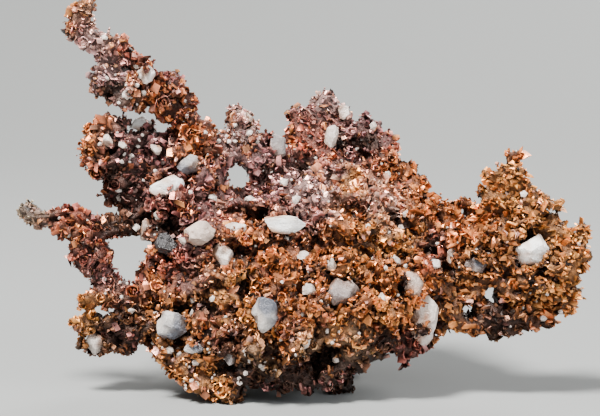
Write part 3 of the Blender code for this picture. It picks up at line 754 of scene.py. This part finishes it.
# ---------------------------------------------------------------- copper
def build_skin(points, tris):
    """The copper under the crystals, creased and pitted inwards, and how creased each point is."""
    normals = point_normals(points, tris)
    low = smoothed(points, tris, 2)
    crease, knob = lumps(low)
    pits, _ = cells(low, PIT_SIZE, 7.0)
    swell = perlin(low, SWELL_SIZE, 5.0)
    _, hollow = hollow_share(low, normals)
    depth = SKIN_SINK + JOINT_DEPTH * crease**1.2 - KNOB_HEIGHT * knob
    depth = depth + PIT_DEPTH * pits + SWELL_HEIGHT * swell + hollow
    depth = np.where(in_opening(low, RIM_WIDTH), RIM_SINK * (1 + swell), depth)
    thin = thickness(low, tris, normals, THICKNESSES[-1])
    depth = np.minimum(depth, np.interp(thin, THICKNESSES, DEEPEST))
    places = low - normals * (np.maximum(depth, -MOST_PROUD) * MM)[:, None]
    places = places.clip(np.array(CAD_BOUNDS[0]) + 0.05 * MM, np.array(CAD_BOUNDS[1]) - 0.05 * MM)
    return places, np.clip(crease * 0.8 + pits * 0.5, 0, 1)


def add_skin():
    """The creased copper under the crystals, with its points, its triangles and a tree of them."""
    points, tris = remeshed_copper()
    points, depth = build_skin(points, tris)
    skin = add_mesh("copper_body", points, tris, True)
    tree = BVHTree.FromPolygons(points.tolist(), tris.tolist())
    normals = point_normals(points, tris)
    open_share = openness(tree, points, normals, OPEN_REACH, rays=8)
    hollow, _ = hollow_share(points, normals)
    # Painted shade with dark oxide: the skin between the crystals is dimmed, and darker still where it is
    # shut in, creased or in a hollow.
    colours = zone_colours(points) * 0.26
    colours = blend_to(colours, SHADE_AND_TARNISH, 0.9 * (1 - open_share) + 0.45 * depth + hollow)
    store_colour(skin, "tint", colours.clip(0.004, 0.95))
    skin.data.materials.append(UNDER_COPPER)
    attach(skin, "root")
    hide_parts("copper")
    return points, tris, tree


def pick_kinds(places, rng):
    """The kind of each crystal: mostly curls, with more leaves on the wing and more nubs on the spire."""
    right = wing_share(places)
    spire = spire_share(places)
    patch = perlin(places, 2.4, 6.5)
    weights = {
        "flake": 0.5 + 0.9 * right + 0.6 * patch - 0.4 * spire,
        "leaf": 0.9 + 1.2 * right + 0.6 * patch - 0.8 * spire,
        "block": 0.8 - 0.5 * right - 0.6 * patch + 0.8 * spire,
        "point": 0.7 - 0.2 * right,
        "nub": 0.30 - 0.3 * right - 0.3 * patch + 1.2 * spire,
        "curl": 3.8 + 0.8 * patch - 2.0 * spire - 1.2 * right,
    }
    weights = np.stack([weights[kind] for kind in KINDS], 1).clip(0.03)
    edges = np.cumsum(weights / weights.sum(1, keepdims=True), 1)
    return (rng.random(len(places))[:, None] > edges).sum(1).clip(0, len(KINDS) - 1)


def seated_crystals(skin_points, skin_tris, rng):
    """Crystals all over the skin: their places, normals, sizes, turns, kinds, shades and tones."""
    places, chosen = scatter(skin_points, skin_tris, CRYSTAL_COUNT, rng)
    normals = unit(triangle_normals(skin_points, skin_tris))[chosen]
    smooth_normals = point_normals(skin_points, skin_tris)[skin_tris[chosen, 0]]
    normals = unit(0.4 * normals + smooth_normals)
    sizes = np.exp(rng.normal(math.log(CRYSTAL_SIZE), SIZE_SPREAD, CRYSTAL_COUNT)).clip(*SIZE_LIMITS)
    sizes = sizes * (1 + 0.2 * spire_share(places) + 0.28 * wing_share(places))
    kept = ~(in_opening(places, 0.05) | ((sizes > 0.22) & in_opening(places, 0.3)))
    places, normals, sizes = places[kept], normals[kept], sizes[kept]
    count = len(places)

    # Crystals of one patch lean and shine alike.
    patch = nearest(places, places[rng.choice(count, PATCH_COUNT, replace=False)])
    patch_lean = unit(rng.normal(size=(PATCH_COUNT, 3)))[patch]
    patch_twist = unit(rng.normal(size=(PATCH_COUNT, 3)))[patch]
    shades = rng.normal(0, 1, PATCH_COUNT)[patch]
    lean = 1.1 * patch_lean + 0.6 * rng.normal(size=(count, 3))
    turns = frames(normals, lean, patch_twist + 0.5 * rng.normal(size=(count, 3)))

    # The wing's flakes and leaves lie level, in layers.
    kinds = pick_kinds(places, rng)
    level = (rng.random(count) < 0.85 * wing_share(places)) & (kinds < KINDS.index("block"))
    layer = LAYER_NORMAL + 0.30 * rng.normal(size=(count, 3))
    turns[level] = frames(layer, np.zeros(3), normals)[level]

    lift = rng.uniform(-0.15, 0.55, count) * sizes * MM
    places = places + normals * lift[:, None]
    toned = nearest(places, places[rng.choice(count, TONE_COUNT, replace=False)])
    return [places, normals, sizes, turns, kinds, shades, rng.random(TONE_COUNT)[toned]]


def turned_anyhow(places, normals, sizes, rng):
    """The places, normals and sizes, with a random turn and a random kind for each crystal."""
    count = len(places)
    turns = frames(normals, rng.normal(size=(count, 3)), rng.normal(size=(count, 3)))
    return places, normals, sizes, turns, rng.integers(0, len(KINDS), count)


def rosettes(places, normals, rng):
    """Curls set in double rings, like small roses of foil."""
    start = rng.choice(len(places), ROSETTE_COUNT, replace=False)
    middle, upward = places[start], normals[start]
    across = unit(np.cross(upward, rng.normal(size=upward.shape)))
    beside = np.cross(upward, across)
    scale = rng.uniform(0.60, 1.15, (ROSETTE_COUNT, 1))
    spots, reach, turns = [], [], []
    for petals, radius, size in ROSETTE_RINGS:
        for petal in range(petals):
            angle = 2 * math.pi * petal / petals + rng.normal(0, 0.25, (ROSETTE_COUNT, 1))
            radial = across * np.cos(angle) + beside * np.sin(angle)
            lift = 0.10 + 0.07 * rng.normal(size=(ROSETTE_COUNT, 1))
            spots.append(middle + (radial * radius * scale + upward * lift) * MM)
            reach.append(scale[:, 0] * size * rng.uniform(0.7, 1.3, ROSETTE_COUNT))
            lean = 0.35 * radial + 0.30 * rng.normal(size=radial.shape)
            turns.append(frames(upward, lean, np.cross(radial, upward)))
    facing = np.tile(upward, (len(spots), 1))
    kinds = np.full(len(facing), KINDS.index("curl"))
    return np.concatenate(spots), facing, np.concatenate(reach), np.concatenate(turns), kinds


def twigs(places, normals, rng):
    """Crystals in short chains that branch off the copper."""
    start = rng.choice(len(places), TWIG_COUNT, replace=False)
    toward = unit(normals[start] + 0.5 * rng.normal(size=(TWIG_COUNT, 3)) + 0.5 * SKYWARD)
    spots, reach = [], []
    for step in range(TWIG_STEPS):
        bend = 0.04 * rng.normal(size=(TWIG_COUNT, 3))
        spots.append(places[start] + (toward * (0.06 + 0.13 * step) + bend) * MM)
        reach.append(rng.uniform(0.12, 0.18, TWIG_COUNT) - 0.010 * step)
    facing = np.tile(toward, (TWIG_STEPS, 1))
    return turned_anyhow(np.concatenate(spots), facing, np.concatenate(reach), rng)


def rim_crystals(tree, rng):
    """Copper crystals that climb over the rims of the quartz."""
    places, normals = [], []
    for name in GRAINS:
        points, tris = mesh_arrays(NODES[name])
        spots, chosen = scatter(points, tris, RIM_TRIES, rng)
        facing = unit(triangle_normals(points, tris))[chosen]
        gap = np.array([tree.find_nearest(Vector(p))[3] for p in spots]) / MM
        bare = 0.10 if name in BARE else 0.0
        close = gap < 0.36 - bare + 0.85 * perlin(spots, 0.9, 12.0)
        places.append(spots[close] + facing[close] * 0.10 * MM)
        normals.append(facing[close])
    places = np.concatenate(places)
    return turned_anyhow(places, np.concatenate(normals), rng.uniform(0.10, 0.20, len(places)), rng)


def all_crystals(skin_points, skin_tris, tree, rng):
    """The crystals all over the skin, and those on the quartz's rims, in twigs and in rosettes."""
    rows = seated_crystals(skin_points, skin_tris, rng)
    places, normals = rows[:2]
    open_share = openness(tree, places[:OUTER_TRIES], normals[:OUTER_TRIES], OPEN_REACH, rays=8)
    outer = np.flatnonzero(open_share > 0.8)
    rosy = outer[wing_share(places[outer]) < 0.4]
    extras = (
        rim_crystals(tree, rng),
        twigs(places[outer], normals[outer], rng),
        rosettes(places[rosy], normals[rosy], rng),
    )
    for extra in extras:
        count = len(extra[0])
        shades, tones = np.full(count, 0.3), np.full(count, 0.5)
        rows = [np.concatenate(pair) for pair in zip(rows, (*extra, shades, tones), strict=True)]
    return rows


def liveliness(colours):
    """0 for black, rising to 1 for copper that isn't darkened with painted shade."""
    return np.clip(colours.max(1) / 0.25, 0, 1)


def crystal_colours(places, normals, shades, tones, tree, rng):
    """Each crystal's colour: its zone's, with odd tones and painted glints, and dark oxide with painted
    shade where it is shut in, creased or hollowed.
    """
    hollow, _ = hollow_share(places, normals)
    open_share = openness(tree, places, normals, OPEN_REACH) * (1 - 0.8 * hollow)
    crease, _ = lumps(places)
    colours = zone_colours(places)
    leftward = np.clip((9 - places[:, 0] / MM) / 4, 0, 1)
    colours = blend_to(colours, PLUM, np.where(tones < 0.20, 0.55, 0.0) * leftward)
    colours = blend_to(colours, ORANGE, np.where(tones > 0.82, 0.50, 0.0) * liveliness(colours))
    glint = rng.random(len(places))
    lively = liveliness(colours) ** 2
    colours = colours * np.exp(0.16 * shades + rng.normal(0, 0.24, len(places)))[:, None]
    colours = blend_to(colours, GOLD, np.where(glint > 0.90, 0.55, 0.0) * open_share * lively)
    colours = blend_to(colours, PINK, np.where(glint < 0.05, 0.55, 0.0) * lively)
    # Dark oxide with painted shade where a crystal is shut in, creased or in a hollow.
    colours = blend_to(colours, SHADE_AND_TARNISH, 1.35 * (1 - open_share) ** 1.2 - 0.10 + 0.42 * crease)
    return colours * rng.normal(1, 0.04, (len(places), 3))


def crystal_parts(skin_points, skin_tris, tree):
    """The points, triangles, owners and colours of each kind's crystals, and the places of all."""
    rng = np.random.default_rng(CRYSTAL_SEED)
    rows = all_crystals(skin_points, skin_tris, tree, rng)
    places, normals, sizes, turns, kinds, shades, tones = rows
    colours = crystal_colours(places, normals, shades, tones, tree, rng)
    parts = []
    for number, kind in enumerate(KINDS):
        of_kind = np.flatnonzero(kinds == number)
        points, tris, owner = crystals(kind, places[of_kind], turns[of_kind], sizes[of_kind], rng)
        which = of_kind[owner]
        # Painted shade and highlight: each crystal is dark at its root and bright at its tip, and curls
        # take their own painted light.
        height = np.sum((points - places[which]) * normals[which], 1) / (GLOW_HEIGHT * MM)
        tip = np.clip(0.35 + 0.65 * height, 0, 1) ** 1.4
        shade = blend_to(colours[which] * 0.20, colours[which] * 1.80, tip)
        if kind == "curl":
            shade = shade * np.tile(CURL_GLOW, len(of_kind))[:, None]
        shade = shade * np.minimum(1, BRIGHTEST / shade.max(1, keepdims=True))
        parts.append((points, tris, which, shade))
    return parts, places


def keep_in_box(points, owner, margin=0.03):
    """Shift each crystal that leaves the CAD model's box back inside it."""
    low = np.array(CAD_BOUNDS[0]) + margin * MM * np.array([1, 1, 0])
    high = np.array(CAD_BOUNDS[1]) - margin * MM
    shift = np.zeros((owner.max() + 1, 3))
    np.maximum.at(shift, owner, low - points)
    down = np.zeros_like(shift)
    np.maximum.at(down, owner, points - high)
    return points + shift[owner] - down[owner]


def joined(parts, here):
    """The crystals that stand here, as one mesh's points, triangles, owners and colours."""
    rows, first = [], 0
    for points, tris, owner, shade in parts:
        wanted = tris[here[owner[tris[:, 0]]]]
        used = np.unique(wanted)
        number = np.full(len(points), -1)
        number[used] = np.arange(len(used)) + first
        rows.append((points[used], number[wanted], owner[used], shade[used]))
        first += len(used)
    return [np.concatenate(column) for column in zip(*rows, strict=True)]


def add_crystals(skin_points, skin_tris, tree):
    """The copper's crystals, as a few pieces from left to right."""
    parts, places = crystal_parts(skin_points, skin_tris, tree)
    edges = (-math.inf, *PIECE_SPLITS, math.inf)
    for name, start, end in zip(PIECES, edges[:-1], edges[1:], strict=True):
        here = (places[:, 0] >= start * MM) & (places[:, 0] < end * MM)
        points, tris, owners, shades = joined(parts, here)
        piece = add_mesh(f"copper_crystals_{name}", keep_in_box(points, owners), tris, False)
        store_colour(piece, "tint", shades)
        piece.data.materials.append(COPPER)
        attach(piece, "root")


# ---------------------------------------------------------------- quartz
GRAINS = sorted(name for name in NODES if name != "copper")

# Which look each grain has where it isn't milky.
LOOKS = {
    "quartz_wing": "bright",
    "quartz_middle_bright": "bright",
    "quartz_spire": "bright",
    "quartz_lobe_lens": "bright",
    # The grey lobe grain takes the bright look, lighter than its own pale grey: painted light against the
    # spire's shadow.
    "quartz_lobe_grey": "bright",
    "quartz_wedge": "buff",
    "quartz_arm_root": "buff",
    "quartz_right_pebble": "buff",
    "quartz_middle_large": "dull",
    "quartz_neck_grey": "dull",
    "quartz_shoulder": "speckled",
    "quartz_belly_blue": "speckled",
    "quartz_belly_speckled": "speckled",
    "quartz_belly_flat": "speckled",
    "quartz_back_middle": "speckled",
    "quartz_belly_grey": "grey",
    "quartz_crest_left": "grey",
    "quartz_back_left": "grey",
    "quartz_back_right": "grey",
    "quartz_cavity": "smoky_shaded",
}

# The side of a two-tone grain that is slate grey.
SLATE_SIDE = {
    "quartz_belly_speckled": (0.6, -0.2, -0.6),
    "quartz_belly_blue": (0.5, -0.1, 0.7),
    "quartz_belly_flat": (0.5, -0.5, 0.2),
    "quartz_shoulder": (-0.2, 0.0, -0.8),
    "quartz_neck_grey": (0.6, -0.2, 0.5),
    "quartz_back_middle": (0.4, 0.3, 0.5),
}

# The grains that little copper has grown over.
BARE = (
    "quartz_wing", "quartz_middle_bright", "quartz_spire", "quartz_lobe_lens", "quartz_right_large",
    "quartz_neck_upper", "quartz_neck_grey", "quartz_arm_root", "quartz_belly_speckled", "quartz_wedge",
    "quartz_slab", "quartz_spur", "quartz_crest_left", "quartz_lobe_top", "quartz_middle_large",
    "quartz_right_pebble", "quartz_right_bead", "quartz_shoulder", "quartz_belly_blue",
)

# How a grain is worn: shares of its reach, and mm.
SWELL_OUT = 0.24
SOFT_BITES = 4
BITE_DEPTH = 0.26
BITE_WIDTH = 0.60
FRONT_CUTS = 2
OTHER_CUTS = 14
CUT_AT = (0.60, 0.86)
CUT_FLATNESS = 0.97
EDGE_ANGLE = math.radians(18)


def move_out(worn, amount):
    """Move each point along its normal by amount(place in mm), in mm."""
    worn.normal_update()
    for vert in worn.verts:
        vert.co += vert.normal * amount(vert.co / MM) * MM


def reach_of(worn, centre, toward):
    """How far the grain reaches from its centre."""
    return max((v.co - centre).dot(toward) for v in worn.verts)


def bite_softly(worn, centre, toward):
    """Sink the grain's surface where it reaches furthest."""
    reach = reach_of(worn, centre, toward)
    bitten = centre + toward * reach
    for vert in worn.verts:
        near = math.exp(-(((vert.co - bitten).length / (BITE_WIDTH * reach)) ** 2))
        vert.co -= toward * (BITE_DEPTH * reach * near)


def cut_flat(worn, centre, toward, share):
    """Flatten what is further out than this share of the grain's reach."""
    limit = reach_of(worn, centre, toward) * share
    for vert in worn.verts:
        over = (vert.co - centre).dot(toward) - limit
        if over > 0:
            vert.co -= toward * over * CUT_FLATNESS


def chipped_grain(name, seed):
    """A CAD grain with worn edges, flat broken faces and an uneven surface."""
    rng = np.random.default_rng(seed)
    across, along, upward = Vector((seed, 0, 0)), Vector((0, seed, 0)), Vector((0, 0, seed))
    grain = add_mesh(name + "_grain", *mesh_arrays(NODES[name]), True)
    worn = bmesh.new()
    worn.from_mesh(grain.data)
    bmesh.ops.remove_doubles(worn, verts=worn.verts, dist=0.01 * MM)
    bmesh.ops.subdivide_edges(worn, edges=worn.edges, cuts=6, use_grid_fill=True)
    bmesh.ops.triangulate(worn, faces=worn.faces)
    for _ in range(2):
        bmesh.ops.smooth_vert(
            worn, verts=worn.verts, factor=0.5, use_axis_x=True, use_axis_y=True, use_axis_z=True
        )
    move_out(
        worn,
        lambda place: SWELL_OUT
        + (0.30 * noise.noise(place * 0.8 + across) + 0.22 * noise.noise(place * 1.9 + upward)),
    )
    centre = sum((v.co for v in worn.verts), Vector()) / len(worn.verts)
    for toward in rng.normal(size=(SOFT_BITES, 3)):
        bite_softly(worn, centre, Vector(unit(toward)))
    sideways = rng.normal(0, 0.35, (FRONT_CUTS, 3)) + (0, -1, 0.1)
    for toward in (*sideways, *rng.normal(size=(OTHER_CUTS, 3))):
        cut_flat(worn, centre, Vector(unit(toward)), rng.uniform(*CUT_AT))
    move_out(
        worn,
        lambda place: 0.040 * noise.noise(place * 2.4 + along) + 0.035 * noise.noise(place * 6.0 + along),
    )
    worn.to_mesh(grain.data)
    worn.free()
    grain.data.polygons.foreach_set("use_smooth", np.ones(len(grain.data.polygons), bool))
    grain.data.set_sharp_from_angle(angle=EDGE_ANGLE)
    return grain


def fitted(points, model):
    """The points scaled along each axis to the size and place of the model's points."""
    low, high = points.min(0), points.max(0)
    model_low, model_high = model.min(0), model.max(0)
    return model_low + (points - low) * (model_high - model_low) / (high - low)


def add_grains(tree):
    """A chipped grain in place of each CAD grain, stained near the copper."""
    for number, name in enumerate(GRAINS):
        grain = chipped_grain(name, number)
        points, _ = mesh_arrays(grain)
        gap = np.array([tree.find_nearest(Vector(p))[3] for p in points]) / MM
        stain = np.clip(1.0 - gap / 0.75 + 0.9 * perlin(points, 0.6, 15.0), 0, 1)
        store_colour(grain, "stain", stain[:, None])
        if name in SLATE_SIDE:
            outward = unit(points - points.mean(0))
            slate = 0.35 + 1.3 * outward @ np.array(SLATE_SIDE[name]) + 0.8 * perlin(points, 0.6, 18.0)
            store_colour(grain, "slate", slate.clip(0, 0.9)[:, None])
        moved = keep_in_box(fitted(points, mesh_arrays(NODES[name])[0]), np.zeros(len(points), int))
        grain.data.vertices.foreach_set("co", moved.astype(np.float32).ravel())
        grain.data.materials.append(QUARTZ[LOOKS.get(name, "milky")])
        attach(grain, "root")
        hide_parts(name)


# (x, v, half-width in mm): single chips of quartz that show from the front.
CHIPS = [
    (-11.9, 16.3, 0.40), (-7.8, 9.9, 0.42), (-6.0, 12.8, 0.38), (-3.5, 12.7, 0.45),
    (-0.5, 12.6, 0.42), (-1.3, 13.8, 0.36), (-7.2, 6.1, 0.35), (1.0, 6.6, 0.28),
    (-8.7, 2.8, 0.32), (-7.4, 3.0, 0.28), (-7.3, 0.8, 0.22), (-5.4, 0.7, 0.26),
    (15.8, 4.9, 0.30), (4.8, 17.8, 0.36), (-4.6, 17.7, 0.26), (-3.6, 17.2, 0.28),
    (-5.0, 16.6, 0.24), (-11.6, 19.6, 0.34), (-10.5, 19.7, 0.28), (-9.4, 15.2, 0.30),
    (0.3, 14.0, 0.30), (5.8, 14.4, 0.26), (4.2, 10.9, 0.30), (-2.6, 9.2, 0.24),
]

# (x, v, spread in mm, how many): clusters of small chips that show from the front.
CHIP_CLUSTERS = [
    (-7.2, 2.6, 1.2, 22), (-3.2, 2.8, 1.2, 16), (0.2, 14.0, 1.6, 16), (5.4, 16.8, 1.2, 9),
    (-4.2, 17.4, 0.8, 9), (14.2, 5.0, 1.2, 8), (-12.6, 7.2, 0.8, 8), (8.0, 8.6, 1.5, 12),
    (-11.4, 16.4, 1.2, 10), (-6.5, 12.6, 1.2, 10), (1.5, 5.2, 1.4, 12), (-11.6, 20.2, 0.7, 7),
]

CHIP_SEED = 23
LOOSE_CHIPS = 620
CHIP_LIFT = 0.12


def front_chips(tree, rng):
    """Places, normals and half-widths of the chips that show from the front."""
    wanted = list(CHIPS)
    for x, v, spread, count in CHIP_CLUSTERS:
        for across, rise, size in rng.normal(size=(count, 3)):
            wanted.append((x + across * spread, v + rise * spread, 0.10 + 0.05 * abs(size)))
    places, normals, sizes = [], [], []
    for x, v, half_width in wanted:
        start = Vector((x * MM, 0, 0)) + VIEW_UP * (v * MM) - VIEW_AHEAD * 0.05
        hit, normal, _, _ = tree.ray_cast(start, VIEW_AHEAD)
        if hit is not None:
            places.append(np.array(hit) - np.array(VIEW_AHEAD) * CHIP_LIFT * MM)
            normals.append(np.array(normal))
            sizes.append(half_width)
    return np.array(places), np.array(normals), np.array(sizes)


def add_chips(skin_points, skin_tris, tree):
    """Small chips of quartz caught between the crystals, joined in one piece."""
    rng = np.random.default_rng(CHIP_SEED)
    places, normals, sizes = front_chips(tree, rng)
    loose, chosen = scatter(skin_points, skin_tris, LOOSE_CHIPS, rng)
    loose_normals = unit(triangle_normals(skin_points, skin_tris))[chosen]
    places = np.concatenate([places, loose + loose_normals * CHIP_LIFT * MM])
    normals = np.concatenate([normals, loose_normals])
    sizes = np.concatenate([sizes, 0.07 + 0.26 * rng.random(LOOSE_CHIPS) ** 2.5])
    turns = frames(normals, 0.6 * rng.normal(size=normals.shape), rng.normal(size=normals.shape))
    points, tris, owner = crystals("nub", places, turns, sizes * 1.2, rng)
    chips = add_mesh("quartz_chips", keep_in_box(points, owner), tris, False)
    chips.data.materials.append(QUARTZ["milky"])
    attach(chips, "root")


# ---------------------------------------------------------------- stage, in metres
FLOOR_HALF_WIDTH = 0.9
FLOOR_FRONT = -0.60
FLOOR_BACK = 0.16
BEND_RADIUS = 0.25
BEND_STEPS = 12
WALL_TOP = 0.90
FLOOR_COLOUR = (0.225, 0.233, 0.23, 1)

# Each lamp's name, place, size, power and colour.
LAMPS = (
    ("key", (-0.11, -0.16, 0.31), 0.10, 5.9, (1.0, 0.98, 0.955)),
    ("fill", (0.28, -0.22, 0.12), 0.20, 1.35, (0.94, 0.97, 1.0)),
    ("back", (0.14, 0.30, 0.22), 0.25, 1.7, (1.0, 0.99, 0.97)),
)
LAMP_TARGET = Vector((0, 0, 0.012))
SKY_COLOUR = (0.86, 0.87, 0.87)
SKY_STRENGTH = 0.38

CAMERA_TARGET = Vector((-0.0002, -0.0015, 0.0124))
CAMERA_DISTANCE = 0.160
FOCAL_LENGTH_MM = 144
SENSOR_WIDTH_MM = 36


def add_floor():
    """A pale floor that curves up into a backdrop."""
    profile = [(FLOOR_FRONT, 0.0), (FLOOR_BACK, 0.0)]
    for step in range(1, BEND_STEPS + 1):
        angle = math.radians(90) * step / BEND_STEPS
        across, up = BEND_RADIUS * math.sin(angle), BEND_RADIUS * (1 - math.cos(angle))
        profile.append((FLOOR_BACK + across, up))
    profile.append((FLOOR_BACK + BEND_RADIUS, WALL_TOP))
    rows = len(profile)
    points = [(x, y, z) for x in (-FLOOR_HALF_WIDTH, FLOOR_HALF_WIDTH) for y, z in profile]
    faces = [(i, rows + i, rows + i + 1, i + 1) for i in range(rows - 1)]
    mesh = bpy.data.meshes.new("floor")
    mesh.from_pydata(points, [], faces)
    mesh.polygons.foreach_set("use_smooth", np.ones(len(faces), bool))
    floor = bpy.data.objects.new("floor", mesh)
    bpy.context.scene.collection.objects.link(floor)
    material, _, shader = new_material("floor_paper")
    shader.inputs["Base Color"].default_value = FLOOR_COLOUR
    shader.inputs["Roughness"].default_value = 0.9
    mesh.materials.append(material)


def add_lamp(name, place, size, power, colour):
    """A round soft lamp that points at the nugget."""
    light = bpy.data.lights.new(name, "AREA")
    light.shape = "DISK"
    light.size = size
    light.energy = power
    light.color = colour
    lamp = bpy.data.objects.new(name, light)
    lamp.location = place
    lamp.rotation_euler = (LAMP_TARGET - Vector(place)).to_track_quat("-Z", "Y").to_euler()
    bpy.context.scene.collection.objects.link(lamp)


def add_sky():
    """An even pale light from all round."""
    world = bpy.data.worlds.new("studio")
    world.use_nodes = True
    background = world.node_tree.nodes["Background"]
    background.inputs["Color"].default_value = (*SKY_COLOUR, 1)
    background.inputs["Strength"].default_value = SKY_STRENGTH
    bpy.context.scene.world = world


def add_camera():
    """The camera of the front view."""
    lens = bpy.data.cameras.new("camera")
    lens.sensor_width = SENSOR_WIDTH_MM
    lens.lens = FOCAL_LENGTH_MM
    lens.clip_start = 0.01
    camera = bpy.data.objects.new("camera", lens)
    camera.location = CAMERA_TARGET - VIEW_AHEAD * CAMERA_DISTANCE
    camera.rotation_euler = VIEW_AHEAD.to_track_quat("-Z", "Y").to_euler()
    bpy.context.scene.collection.objects.link(camera)
    bpy.context.scene.camera = camera


copper_points, copper_tris, copper_tree = add_skin()
add_crystals(copper_points, copper_tris, copper_tree)
add_grains(copper_tree)
add_chips(copper_points, copper_tris, copper_tree)
add_floor()
for lamp_values in LAMPS:
    add_lamp(*lamp_values)
add_sky()
add_camera()
